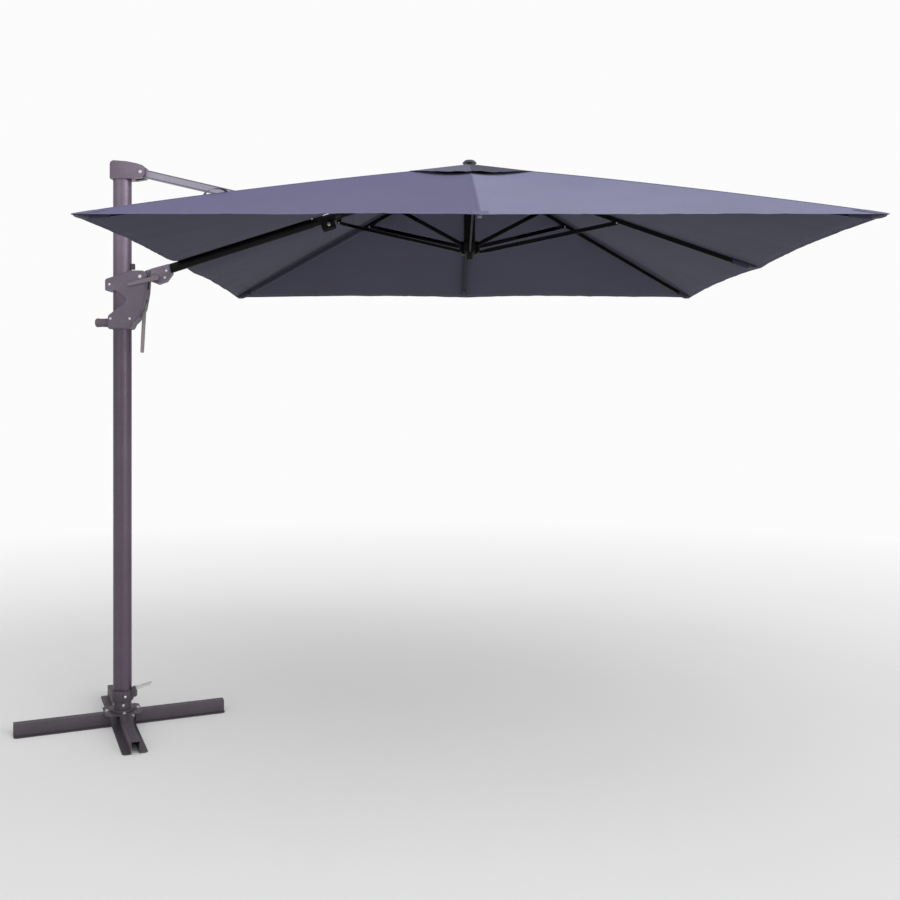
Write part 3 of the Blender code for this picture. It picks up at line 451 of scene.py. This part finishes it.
def cover_point(face, u, angle, lift=0.0):
    """A point of the cover at rest: outwards on the face looking along an angle, and across it.

    Every neighbouring sheet asks for its edge by this one rule, so the edges meet.
    """
    angle = max(-RIDGE, min(RIDGE, angle))
    w, t = abs(angle) / RIDGE, u / HALF
    between = 4 * w * (1 - w)
    out = u - SCALLOP * between * t ** 4
    side = out * math.tan(math.radians(angle))
    sink = SAG * math.sin(math.pi * min(t, 1.0)) ** 0.8 + HEM_SINK * t
    z = APEX - SLOPE * out - sink * between + BOW * max(0.0, 4 * t * (1 - t)) ** 0.7 * w ** 5
    turn = math.radians(face)
    x = out * math.cos(turn) - side * math.sin(turn)
    y = out * math.sin(turn) + side * math.cos(turn)
    reach = math.hypot(x, y)
    unit = Vector((x / reach, y / reach, 0))
    z += SLACK * t * between * noise.noise(Vector((x * 2.1, y * 2.1, 3.7)))
    z += PLEAT * t ** 3 * noise.noise(unit * 17 + Vector((0, 0, reach * 1.1)))
    z += RIPPLE * t ** 8 * between * noise.noise(unit * 44 + Vector((5.0, 0, 0)))
    if face == 180:
        z += drape(out, side)
    return Vector((AXIS_X + x, y, z + lift))


def flap_point(face, u, angle, lift=0.0):
    """A point of the vent flap: it stands over the cover and its outer edge ripples."""
    angle = max(-RIDGE, min(RIDGE, angle))
    w, t = abs(angle) / RIDGE, (u - EYE) / (FLAP - EYE)
    between = 4 * w * (1 - w)
    out = u - 0.006 * between * t ** 2
    side = out * math.tan(math.radians(angle))
    turn = math.radians(face)
    x = out * math.cos(turn) - side * math.sin(turn)
    y = out * math.sin(turn) + side * math.cos(turn)
    unit = Vector((x, y, 0)).normalized()
    z = APEX + FLAP_RISE - SLOPE * out
    z += t ** 2 * (0.0055 * noise.noise(unit * 3.1 + Vector((1.3, 0, 0))) - 0.0030 * between
                   + 0.0028 * noise.noise(unit * 9 + Vector((0, 4.0, 0))))
    if face == 180:
        z += 0.3 * drape(out, side)
    return Vector((AXIS_X + x, y, z + lift))


def spaced(first, last, count):
    return [first + (last - first) * i / (count - 1) for i in range(count)]


def plain(value):
    """A rule that gives one value everywhere."""
    return lambda _: value


def sheet_mesh(panels, rows, rule, lift, thickness, painted_light_shares, under=1):
    """A closed shell of cloth over panels of one face each.

    A panel is a face's direction and functions that give each column's angle at a distance. Columns
    shared by two panels, and rows that pinch to a point, are merged before the shell gets its back.
    """
    bm = bmesh.new()
    uv = bm.loops.layers.uv.new("cloth")
    # painted light: each panel carries its share of painted light, from the shaded colour at 0 to the lit one
    # at 1
    painted_light = bm.faces.layers.float.new("painted_light")
    for (face, columns), shade in zip(panels, painted_light_shares):
        grid, flat = [], []
        for u in rows:
            angles = [column(u) for column in columns]
            grid.append([bm.verts.new(rule(face, u, angle, lift(u))) for angle in angles])
            flat.append([(u * math.tan(math.radians(angle)), u) for angle in angles])
        for i in range(len(rows) - 1):
            for j in range(len(columns) - 1):
                places = ((i, j), (i + 1, j), (i + 1, j + 1), (i, j + 1))
                made = bm.faces.new([grid[a][b] for a, b in places])
                made[painted_light] = shade
                for loop, (a, b) in zip(made.loops, places):
                    loop[uv].uv = flat[a][b]
    bmesh.ops.remove_doubles(bm, verts=bm.verts, dist=0.00002)
    bmesh.ops.dissolve_degenerate(bm, edges=bm.edges, dist=0.00001)
    bmesh.ops.recalc_face_normals(bm, faces=bm.faces)
    if sum(face.normal.z * face.calc_area() for face in bm.faces) < 0:
        bmesh.ops.reverse_faces(bm, faces=bm.faces)
    fronts = list(bm.faces)
    rim = [edge for edge in bm.edges if len(edge.link_faces) == 1]
    back = {vert: bm.verts.new(vert.co - Vector((0, 0, thickness(vert.co)))) for vert in list(bm.verts)}
    for front in fronts:
        made = bm.faces.new([back[loop.vert] for loop in reversed(front.loops)])
        made[painted_light] = front[painted_light]
        made.material_index = under
        for loop, source in zip(made.loops, reversed(front.loops)):
            loop[uv].uv = source[uv].uv
    for edge in rim:
        loop = edge.link_loops[0]
        first, second = loop.vert, loop.link_loop_next.vert
        made = bm.faces.new((second, first, back[first], back[second]))
        made[painted_light] = loop.face[painted_light]
        ends = (loop.link_loop_next[uv].uv.copy(), loop[uv].uv.copy())
        for corner, end in zip(made.loops, (ends[0], ends[1], ends[1], ends[0])):
            corner[uv].uv = end
    return bm


def hem_rows(near, far, near_hem, far_hem, count):
    """Rows from one hem to the other, with a close pair where each hem's fold ends."""
    step = 0.0012
    first, last = near + near_hem, far - far_hem
    inner = spaced(first + step, last - step, count)
    edge = spaced(last, far, 4)
    return [near, near + near_hem / 2, first] + inner + edge


def hem_lift(near, far, near_hem, far_hem):
    return lambda u: HEM_STEP if u <= near + near_hem + 1e-6 or u >= far - far_hem - 1e-6 else 0.0


# painted light and shade on each half of each face: its share from the shaded, cool and dark copy of the
# cloth at 0 to the lit, warm and pale copy at 1
PAINTED_LIGHT_SHARES = {(270, -1): 0.12, (270, 1): 0.85, (0, -1): 0.70, (0, 1): 0.55, (90, -1): 0.50, (90, 1): 0.35,
         (180, -1): 0.25, (180, 1): 0.20}
COVER_ROWS = hem_rows(VENT, HALF, VENT_HEM, HEM, 58)
COVER_LIFT = hem_lift(VENT, HALF, VENT_HEM, HEM)


def cover_back(point):
    """The shell's thickness, which also stands out below the cloth in the vent's hem."""
    reach = max(abs(point.x - AXIS_X), abs(point.y))
    return THICK + (2 * HEM_STEP if reach < VENT + VENT_HEM - 0.0005 else 0.0)


def fold(piece, rib, narrow=False):
    """Give a piece of the cover a mesh of its own."""
    if narrow:
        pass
    elif rib == "boom":
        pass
    else:
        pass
    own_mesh(piece)


def panel(face, first, last, count):
    """A face's direction and the columns between two angles on it."""
    return face, [plain(angle) for angle in spaced(first, last, count)]


def sector_panels(degrees, count):
    """The two panels of the sheet in a direction: on one face, or on both sides of a ridge."""
    if degrees % 90 == 0:
        return [panel(degrees, -SECTOR, 0, count), panel(degrees, 0, SECTOR, count)]
    before, after = (degrees - RIDGE) % 360, (degrees + RIDGE) % 360
    return [panel(before, SECTOR, RIDGE, count), panel(after, -RIDGE, -SECTOR, count)]


def split_left():
    """The two halves of the left sector, parted along the strut's opening."""
    def column(side, share):
        def angle(u):
            low = slit_half(u)
            high = u * math.tan(math.radians(SECTOR))
            return side * math.degrees(math.atan2(low + (high - low) * share, u))
        return angle
    shares = [i / 26 for i in range(27)]
    return [(180, [column(-1, share) for share in reversed(shares)]),
            (180, [column(1, share) for share in shares])]


RING_AREA = (HALF ** 2 - VENT ** 2) * math.hypot(1, SLOPE)
MID_AREA = RING_AREA * math.tan(math.radians(SECTOR))
CORNER_AREA = RING_AREA - MID_AREA
# flat size, width by length, and area of each kind of sheet
MID_CUT = {"flat": (1.20, 1.30), "area": MID_AREA}
CORNER_CUT = {"flat": (1.70, 1.84), "area": CORNER_AREA}
HALF_CUT = {"flat": (0.85, 1.84), "area": CORNER_AREA / 2}


def cover_sheet(name, body, panels, rows):
    """A piece of the cover, with the painted light and shade of each half of each face."""
    painted_light_shares = []
    for face, columns in panels:
        middle = columns[len(columns) // 2](HALF)
        painted_light_shares.append(PAINTED_LIGHT_SHARES[face, 1 if middle > 0 else -1])
    bm = sheet_mesh(panels, rows, cover_point, COVER_LIFT, cover_back, painted_light_shares)
    return finish_piece(name, bm, body, [COVER, SHADED_CLOTH])


sheets, cuts = {}, {}
for rib, degrees in RIBS.items():
    panels = sector_panels(degrees, 24)
    cuts[rib] = MID_CUT if tier(rib) == "mid" else CORNER_CUT
    on_left = [row for row in panels if row[0] == 180]
    if on_left:
        # a corner sheet's half on the left face is a piece of its own
        inner = cover_sheet("cover_inner_" + rib, "rib_" + rib, on_left, COVER_ROWS)
        fold(inner, rib, narrow=True)
        panels = [row for row in panels if row[0] != 180]
        cuts[rib] = HALF_CUT
    sheets[rib] = cover_sheet("cover_" + rib, "rib_" + rib, panels, COVER_ROWS)
    fold(sheets[rib], rib)
    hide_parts("canopy_" + rib)
SLIT_ROWS = sorted(set(COVER_ROWS) | set(spaced(SLIT[0], SLIT[1], 31)))
sheets["left"] = cover_sheet("cover_left", "boom", split_left(), SLIT_ROWS)
fold(sheets["left"], "boom")
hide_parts("canopy_left")

# ---------------------------------------------------------------- vent flap
FLAP_ROWS = hem_rows(EYE, FLAP, EYE_HEM, FLAP_HEM, 20)
FLAP_LIFT = hem_lift(EYE, FLAP, EYE_HEM, FLAP_HEM)


def bend(piece):
    """Bake a sheet of the flap's placement into its mesh."""
    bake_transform(piece)


for rib, degrees in [*RIBS.items(), ("left", 180)]:
    middle = degrees % 90 == 0
    # painted light and shade: one half of each flap sheet takes the lit colour, the other the shaded one
    bm = sheet_mesh(sector_panels(degrees, 12), FLAP_ROWS, flap_point, FLAP_LIFT, plain(THICK),
                    [1.0, 0.0] if middle else [0.0, 1.0])
    flap = finish_piece("vent_flap_" + rib, bm, None, [SHADED_FLAP_CLOTH, SHADED_CLOTH])
    bend(flap)


# ---------------------------------------------------------------- seams, pockets and bindings
def ridge_panels(rib, wide):
    """Columns along both sides of a corner seam, at set distances from it."""
    before, after = (RIBS[rib] - RIDGE) % 360, (RIBS[rib] + RIDGE) % 360

    def column(side, offset):
        return lambda u: side * math.degrees(math.atan2(u - offset, u))
    offsets = [wide, wide * 0.96, wide / 2, 0.0]
    return [(before, [column(1, offset) for offset in offsets]),
            (after, [column(-1, offset) for offset in reversed(offsets)])]


def rib_panels(face, wide):
    """Columns at set distances from the middle of a face."""
    def column(offset):
        return lambda u: math.degrees(math.atan2(offset, u))
    return [(face, [column(wide * share) for share in (-1, -0.96, -0.5, 0, 0.5, 0.96, 1)])]


TAPE_THICK, BINDING_THICK, BINDING_WIDE = 0.0007, 0.0034, 0.013
TAPE_FROM, TAPE_TO = VENT + 0.0005, HALF - 0.001    # a tape starts and ends just inside the cloth's edges


def seam_strip(name, rib, panels, near, lift, count):
    """A tape sewn on the cover, from a distance out to its hem."""
    # painted light: the tape's colour sits halfway between its shaded and lit copies
    bm = sheet_mesh(panels, spaced(near, TAPE_TO, count), cover_point, plain(lift), plain(TAPE_THICK),
                    [0.5] * len(panels), under=0)
    strip = finish_piece(name, bm, "rib_" + rib, [TAPE])
    fold(strip, rib)
    return strip


with_rib = {}
for rib, degrees in RIBS.items():
    if tier(rib) == "corner":
        strips = [("seam_tape_", ridge_panels(rib, 0.0075), TAPE_FROM, 0.0012, 70),
                  ("tip_pocket_", ridge_panels(rib, 0.046), HALF - 0.062, 0.0020, 10)]
    else:
        strips = [("seam_tape_", rib_panels(degrees, 0.0045), TAPE_FROM, 0.0010, 70),
                  ("tip_pocket_", rib_panels(degrees, 0.030), HALF - 0.070, 0.0018, 10)]
    with_rib[rib] = [seam_strip(kind + rib, rib, panels, near, lift, count)
                     for kind, panels, near, lift, count in strips]


def slit_band(wide):
    """Columns of the binding round the strut's opening."""
    def column(side, grow):
        return lambda u: side * math.degrees(math.atan2(slit_half(u) + grow, u))
    offsets = [0.0, wide / 2, wide]
    return [(180, [column(-1, grow) for grow in reversed(offsets)]),
            (180, [column(1, grow) for grow in offsets])]


# painted light: the binding's colour sits halfway between the tape's shaded and lit copies
bm = sheet_mesh(slit_band(BINDING_WIDE), spaced(SLIT[0] - 0.012, SLIT[1] + 0.012, 44), cover_point,
                plain(0.0012), plain(BINDING_THICK), [0.5, 0.5], under=0)
binding = finish_piece("slit_binding", bm, "boom", [TAPE])
fold(binding, "boom")


def rib_frame(rib):
    """Origin on the rib's hub pivot, X down along the rib, Z up from its top."""
    _, _, top, reach = PIVOT[tier(rib)]
    fall = math.atan(SLOPE if tier(rib) == "mid" else SLOPE / math.sqrt(2))
    turn = math.radians(RIBS[rib])
    place = (Matrix.Translation((AXIS_X, 0, 0)) @ Matrix.Rotation(turn, 4, "Z")
             @ Matrix.Translation((HUB_RADIUS, 0, top)) @ Matrix.Rotation(fall, 4, "Y"))
    return place, (reach - HUB_RADIUS) / math.cos(fall)


def sleeve(name, rib, near, far, wide, deep, material, drop):
    """A soft tube of cloth sewn round a rib, between two distances along it."""
    place, _ = rib_frame(rib)
    count = max(4, int((far - near) / 0.03))
    bm = bmesh.new()
    sections = []
    for index, x in enumerate(spaced(near, far, count)):
        ends = 0.80 if index in (0, count - 1) else 1.0
        slack = 1 + 0.07 * noise.noise(Vector((x * 9, len(rib), 2.0)))
        middle = place @ Matrix.Translation((x, 0, -drop))
        sections.append(rounded_box(middle, wide * ends * slack, deep * ends, min(wide, deep) * ends * 0.35))
    loft(bm, sections)
    with_rib[rib].append(finish_piece(name, bm, "rib_" + rib, [material], 50))


for rib in RIBS:
    _, length = rib_frame(rib)
    # painted shade: the tip sleeves take the underside's darker cloth
    sleeve("tip_sleeve_" + rib, rib, length - 0.070, length + 0.012, 0.0200, 0.0272, SHADED_CLOTH, 0.0006)
    sleeve("sleeve_mouth_" + rib, rib, length - 0.076, length - 0.066, 0.0215, 0.0286, BINDING, 0.0006)
_, length = rib_frame("back_left")
# painted shade: this sleeve takes the underside's darker cloth too
sleeve("rib_sleeve_back_left", "back_left", 0.775, length - 0.078, 0.0182, 0.0256, SHADED_CLOTH, 0.0004)


def tie_loop():
    """A loop of webbing on the near left corner seam, for the strap that ties the closed canopy."""
    near, far, steps = 0.995, 1.066, 15
    sewn, high, half_wide, half_thick = 0.0012, 0.017, 0.010, 0.0007
    outline = ((-1, -1), (-0.5, -1), (0.5, -1), (1, -1), (1, 1), (0.5, 1), (-0.5, 1), (-1, 1))
    across = Vector((1, -1, 0)).normalized()
    bm = bmesh.new()
    sections = []
    for index, u in enumerate(spaced(near, far, steps)):
        share = index / (steps - 1)
        seam = cover_point(270, u, -RIDGE)
        ahead = (cover_point(270, u + 0.01, -RIDGE) - seam).normalized()
        up = across.cross(ahead).normalized()
        up = up if up.z > 0 else -up
        middle = seam + up * (sewn + high * math.sin(math.pi * share) ** 0.55)
        sections.append([middle + across * a * half_wide + up * b * half_thick for a, b in outline])
    loft(bm, sections)
    loop = finish_piece("tie_loop", bm, "rib_front_left", [TAPE], 50)
    fold(loop, "front_left")
    return loop


with_rib["front_left"].append(tie_loop())


# ---------------------------------------------------------------- rib ends and canopy hardware
def tip_cap(rib):
    """A moulded cap on the end of a rib, tapered towards the hem."""
    rib_deep, rise = 0.0228, 0.0010
    place, length = rib_frame(rib)
    tip = 0.060 if tier(rib) == "corner" else 0.056
    shape = ((0.004, 0.0150, 0.0226), (0.012, 0.0170, 0.0222), (tip - 0.026, 0.0165, 0.0180),
             (tip - 0.012, 0.0140, 0.0130), (tip - 0.003, 0.0100, 0.0080), (tip, 0.0050, 0.0040))
    bm = bmesh.new()
    sections = []
    for x, wide, high in shape:
        middle = place @ Matrix.Translation((length + x, 0, (rib_deep - high) / 2 + rise))
        sections.append(rounded_box(middle, wide, high, min(wide, high) * 0.3))
    loft(bm, sections)
    finish_piece("tip_cap_" + rib, bm, "rib_" + rib, [PURPOSE["finial"]])


for rib in RIBS:
    tip_cap(rib)


def button(bm, point, direction, radius, height):
    """Add a domed rivet head."""
    lathe(bm, [(0, -0.0004), (radius, -0.0004), (radius, height * 0.35), (radius * 0.86, height * 0.72),
               (radius * 0.5, height * 0.95), (0, height)], aim(point, direction), 18)


def screw_head(bm, point, direction, radius, height):
    """Add a button-head screw with a recess, on its washer."""
    lathe(bm, [(0, -0.0003), (radius * 1.35, -0.0003), (radius * 1.35, height * 0.2), (radius, height * 0.2),
               (radius, height * 0.6), (radius * 0.72, height), (radius * 0.42, height),
               (radius * 0.38, height * 0.45), (0, height * 0.4)], aim(point, direction), 24)


def rivets(name, body, material, spots, radius, height, make=button):
    """One piece that holds a head at every (point, direction) spot."""
    bm = bmesh.new()
    for point, direction in spots:
        make(bm, point, direction, radius, height)
    return finish_piece(name, bm, body, [material], 50)


def pair(x, z, half):
    """The same spot on the near and the far face."""
    return [((x, -half, z), (0, -1, 0)), ((x, half, z), (0, 1, 0))]


def round_mast(degrees, radius, z):
    """Spots round the mast's axis at one height, facing outwards."""
    turns = [math.radians(turn) for turn in degrees]
    return [((math.cos(t) * radius, math.sin(t) * radius, z), (math.cos(t), math.sin(t), 0)) for t in turns]


def rib_pins(rib):
    """The rivet that holds a rib's stay, and the pin's two ends at the hub."""
    stay_face, hub_face = 0.0103, 0.0070
    joint_out, joint_z, top, _ = PIVOT[tier(rib)]
    turn = math.radians(RIBS[rib])
    out, side = Vector((math.cos(turn), math.sin(turn), 0)), Vector((-math.sin(turn), math.cos(turn), 0))
    axis = Vector((AXIS_X, 0, 0))
    joint = axis + out * joint_out + Vector((0, 0, joint_z))
    rivets("stay_rivet_" + rib, "rib_" + rib, ZINC,
           [(joint + side * s * stay_face, side * s) for s in (-1, 1)], 0.0046, 0.0018)
    pivot = axis + out * HUB_RADIUS + Vector((0, 0, top))
    bm = bmesh.new()
    for s in (-1, 1):
        lathe(bm, [(0, 0.0), (0.0034, 0.0), (0.0034, 0.00025), (0, 0.0004)],
              aim(pivot + side * s * hub_face, side * s), 14)
    finish_piece("hub_pin_" + rib, bm, "rib_" + rib, [ZINC])


ZINC = SLOTS["zinc"]
for rib in RIBS:
    rib_pins(rib)
rivets("link_rivet", "boom", ZINC, pair(1.0754, 2.4816, 0.0075), 0.0040, 0.0014)

# ---------------------------------------------------------------- arm, strut, carriage and mast hardware
# half widths over the faces that carry the screws and rivets
ARM_FACE, BRACKET_FACE, FORK_FACE = 0.0250, 0.0320, 0.0295
KNUCKLE_FACE, CARRIAGE_FACE, CAP_FACE = 0.0300, 0.0460, 0.0405
arm_spots = [((x, side * ARM_FACE, z), (0, side, 0))
             for side in (-1, 1) for x, z in ((1.006, 2.4925), (1.034, 2.5015))]
rivets("bracket_rivets", "arm", SLOTS["black_aluminium"], arm_spots, 0.0044, 0.0016)
rivets("boom_pin_head", "arm", ZINC, pair(BOOM_PIN.x, BOOM_PIN.z, BRACKET_FACE), 0.0066, 0.0026,
       screw_head)
rivets("fork_rivets", "strut", SLOTS["bracket_steel"],
       pair(0.858, 2.542, FORK_FACE) + pair(0.800, 2.564, FORK_FACE), 0.0046, 0.0016)
rivets("knuckle_screws", "arm", ZINC,
       pair(0.219, 2.206, KNUCKLE_FACE) + pair(0.226, 2.240, KNUCKLE_FACE), 0.0040, 0.0018, screw_head)
rivets("carriage_screws", "carriage", ZINC,
       pair(-0.050, 2.171, CARRIAGE_FACE) + pair(0.050, 2.002, CARRIAGE_FACE)
       + pair(-0.045, 2.002, CARRIAGE_FACE), 0.0042, 0.0018, screw_head)
rivets("carriage_pin_head", "carriage", ZINC, pair(CARRIAGE_PIN.x, CARRIAGE_PIN.z, CARRIAGE_FACE),
       0.0062, 0.0018, screw_head)
rivets("head_pin_ends", "mast", ZINC, pair(HEAD_PIN.x, HEAD_PIN.z, CAP_FACE), 0.0060, 0.0022,
       screw_head)
rivets("socket_screws", "base", ZINC, round_mast((-66, 24, 114, 204), 0.0425, 0.094), 0.0044, 0.0022,
       screw_head)
rivets("collar_screw", "mast", ZINC, round_mast((-58, 122), 0.0540, 0.138), 0.0046, 0.0024,
       screw_head)


def strut_channel_shade():
    """Dark strips along both edges of the strut's two sides: painted shade for the shadow in its edge
    channels.
    """
    along = Matrix.Translation(HEAD_PIN) @ Matrix.Rotation(math.atan(STRUT_FALL), 4, "Y")
    outline = ((-1, -1), (1, -1), (1, 1), (-1, 1))
    bm = bmesh.new()
    for side in (-1, 1):
        for height in (-0.0158, 0.0158):
            middle = along @ Matrix.Translation((0, side * 0.0125, height))
            loft(bm, [[middle @ Vector((x, a * 0.0003, b * 0.0016)) for a, b in outline]
                      for x in spaced(0.024, 0.668, 12)])
    # painted shade: the strips' dark paint stands for the shadow in the channels
    channel = paint("channel_painted_shade", linear(70, 64, 74), 0.55, 0.1, worn=0.2)
    finish_piece("strut_channel_shade", bm, "strut", [channel], 30)


def ring(bm, place, radius, height, thick, steps=36, turns=8):
    """Add a ring round the placement's axis, with a section flattened towards the axis."""
    rows = []
    for i in range(steps):
        t = 2 * math.pi * i / steps
        rows.append([])
        for j in range(turns):
            s = 2 * math.pi * j / turns
            reach = radius + thick * 0.55 * math.cos(s)
            point = Vector((reach * math.cos(t), reach * math.sin(t), height + thick * math.sin(s)))
            rows[-1].append(bm.verts.new(place @ point))
    for low, high in zip(rows, rows[1:] + rows[:1]):
        for j in range(turns):
            k = (j + 1) % turns
            bm.faces.new((low[j], high[j], high[k], low[k]))


def grip_ribs():
    """Rings moulded round the grip, which narrows to a waist and widens again."""
    waist, waist_radius = 0.040, 0.0200
    place = aim((-0.0593, 0, 1.9845), (-1, 0, 0))
    bm = bmesh.new()
    for height in (0.012, 0.019, 0.026, 0.033, 0.040, 0.047):
        if height <= waist:
            radius = 0.0220 - 0.0020 * height / waist
        else:
            radius = waist_radius + 0.0025 * (height - waist) / 0.026
        ring(bm, place, radius, height, 0.0016)
    finish_piece("grip_ribs", bm, "carriage", [PURPOSE["grip"]], 60)


def pedal_treads():
    """Five raised pads across the pedal's tread, each with rounded ends."""
    half_long, half_wide, half_high, rounding = 0.0175, 0.0022, 0.0012, 0.0006
    outline = ((-1, -1), (1, -1), (0.7, 1), (-0.7, 1))
    tread = Matrix.Translation((0.112, 0, 0.1865)) @ Matrix.Rotation(-0.31, 4, "Y")
    bm = bmesh.new()
    for index in range(5):
        place = tread @ Matrix.Translation((-0.018 + 0.009 * index, 0, 0.0036))
        sections = []
        for share in (-1, -0.97, 0.97, 1):
            inset = rounding if abs(share) == 1 else 0.0
            sections.append([place @ Vector((dx * (half_wide - inset), share * half_long,
                                             dz * (half_high - inset))) for dx, dz in outline])
        loft(bm, sections)
    finish_piece("pedal_treads", bm, "pedal", [PURPOSE["foot_pedal"]], 30)


strut_channel_shade()
grip_ribs()
pedal_treads()

# ---------------------------------------------------------------- room, light and camera
FLOOR_TONE, SKY = 0.84, 0.97
FADE_MIDDLE = (1.35, -0.6, 0.0)
FADE_FROM, FADE_TO = 3.2, 9.0    # distance over which the floor runs into the backdrop
KEY_SIDE = Vector((0.50, -0.80, 0.34)).normalized()
DIM, BRIGHT = 0.56, 1.30         # the studio's walls, away from the key side and towards it


def floor_material():
    """Matt pale floor that turns into the backdrop's own white with distance from the object."""
    made = Nodes("studio_floor")
    place = made.coords()
    cloud = made.spread(made.noise(place, 0.8, 3.0), 0.3, 0.7, 0.99, 1.01)
    made.link(made.mix(1.0, (FLOOR_TONE, FLOOR_TONE, FLOOR_TONE, 1.0), made.grey(cloud), "MULTIPLY"),
              made.shader.inputs["Base Color"])
    made.set(Roughness=0.8, Specular_IOR_Level=0.1)
    made.link(made.bump(made.noise(place, 60.0, 3.0), 0.0004, 0.3), made.shader.inputs["Normal"])
    away = made.tree.nodes.new("ShaderNodeVectorMath")
    away.operation = "DISTANCE"
    away.inputs[1].default_value = FADE_MIDDLE
    made.link(place, away.inputs[0])
    fade = made.spread(away.outputs["Value"], FADE_FROM, FADE_TO, 0.0, 1.0)
    glow = made.tree.nodes.new("ShaderNodeEmission")
    glow.inputs["Color"].default_value = (SKY, SKY, SKY, 1.0)
    blend = made.tree.nodes.new("ShaderNodeMixShader")
    made.link(fade, blend.inputs["Fac"])
    made.link(made.shader.outputs["BSDF"], blend.inputs[1])
    made.link(glow.outputs["Emission"], blend.inputs[2])
    made.link(blend.outputs["Shader"], made.tree.nodes["Material Output"].inputs["Surface"])
    return made.material


def studio_floor():
    """A plane just under the foot, wide enough that its edge never shows."""
    bm = bmesh.new()
    bmesh.ops.create_grid(bm, x_segments=2, y_segments=2, size=60)
    mesh = bpy.data.meshes.new("studio_floor")
    bm.to_mesh(mesh)
    bm.free()
    mesh.materials.append(floor_material())
    floor = bpy.data.objects.new("studio_floor", mesh)
    floor.location.z = -0.0006
    bpy.context.scene.collection.objects.link(floor)


def studio_world():
    """A white backdrop for the camera, and for the light a studio that is brighter on its key side."""
    world = bpy.data.worlds.new("studio")
    world.use_nodes = True
    tree = world.node_tree
    backdrop = tree.nodes["Background"]
    backdrop.inputs["Color"].default_value = (SKY, SKY, SKY, 1)
    place = tree.nodes.new("ShaderNodeTexCoord")
    facing = tree.nodes.new("ShaderNodeVectorMath")
    facing.operation = "DOT_PRODUCT"
    facing.inputs[1].default_value = KEY_SIDE
    ramp = tree.nodes.new("ShaderNodeMapRange")
    ramp.interpolation_type = "SMOOTHSTEP"
    for key, number in (("From Min", -0.1), ("From Max", 0.97), ("To Min", DIM), ("To Max", BRIGHT)):
        ramp.inputs[key].default_value = number
    walls = tree.nodes.new("ShaderNodeBackground")
    path = tree.nodes.new("ShaderNodeLightPath")
    choose = tree.nodes.new("ShaderNodeMixShader")
    for source, target in ((place.outputs["Generated"], facing.inputs[0]),
                           (facing.outputs["Value"], ramp.inputs["Value"]),
                           (ramp.outputs["Result"], walls.inputs["Strength"]),
                           (path.outputs["Is Camera Ray"], choose.inputs["Fac"]),
                           (walls.outputs["Background"], choose.inputs[1]),
                           (backdrop.outputs["Background"], choose.inputs[2]),
                           (choose.outputs["Shader"], tree.nodes["World Output"].inputs["Surface"])):
        tree.links.new(source, target)
    walls.inputs["Color"].default_value = (1, 1, 1, 1)
    return world


def place_light(name, light, place, target):
    made = bpy.data.objects.new(name, light)
    made.location = place
    made.rotation_euler = (Vector(target) - Vector(place)).to_track_quat("-Z", "Y").to_euler()
    bpy.context.scene.collection.objects.link(made)


def softbox(name, place, target, size, power):
    light = bpy.data.lights.new(name, "AREA")
    light.shape = "RECTANGLE"
    light.size, light.size_y = size
    light.energy = power
    place_light(name, light, place, target)


def camera():
    """A level camera that looks along +Y, shifted to the photograph's framing."""
    data = bpy.data.cameras.new("camera")
    data.lens = 40.54
    data.sensor_width = 36
    data.shift_x, data.shift_y = 0.0078, -0.0549
    made = bpy.data.objects.new("camera", data)
    made.location = (1.593, -5.037, 1.598)
    made.rotation_euler = (math.pi / 2, 0, 0)
    bpy.context.scene.collection.objects.link(made)
    return made


studio_floor()
sun = bpy.data.lights.new("key_light", "SUN")
sun.energy = 0.75
sun.angle = math.radians(40)
place_light("key_light", sun, (5.5, -3.5, 4.2), (1.2, 0, 1.6))
softbox("side_light", (2.6, -5.2, 2.2), (0.1, 0, 2.0), (0.5, 2.6), 26)
bpy.context.scene.world = studio_world()
bpy.context.scene.camera = camera()
bpy.context.scene.view_settings.view_transform = "Standard"
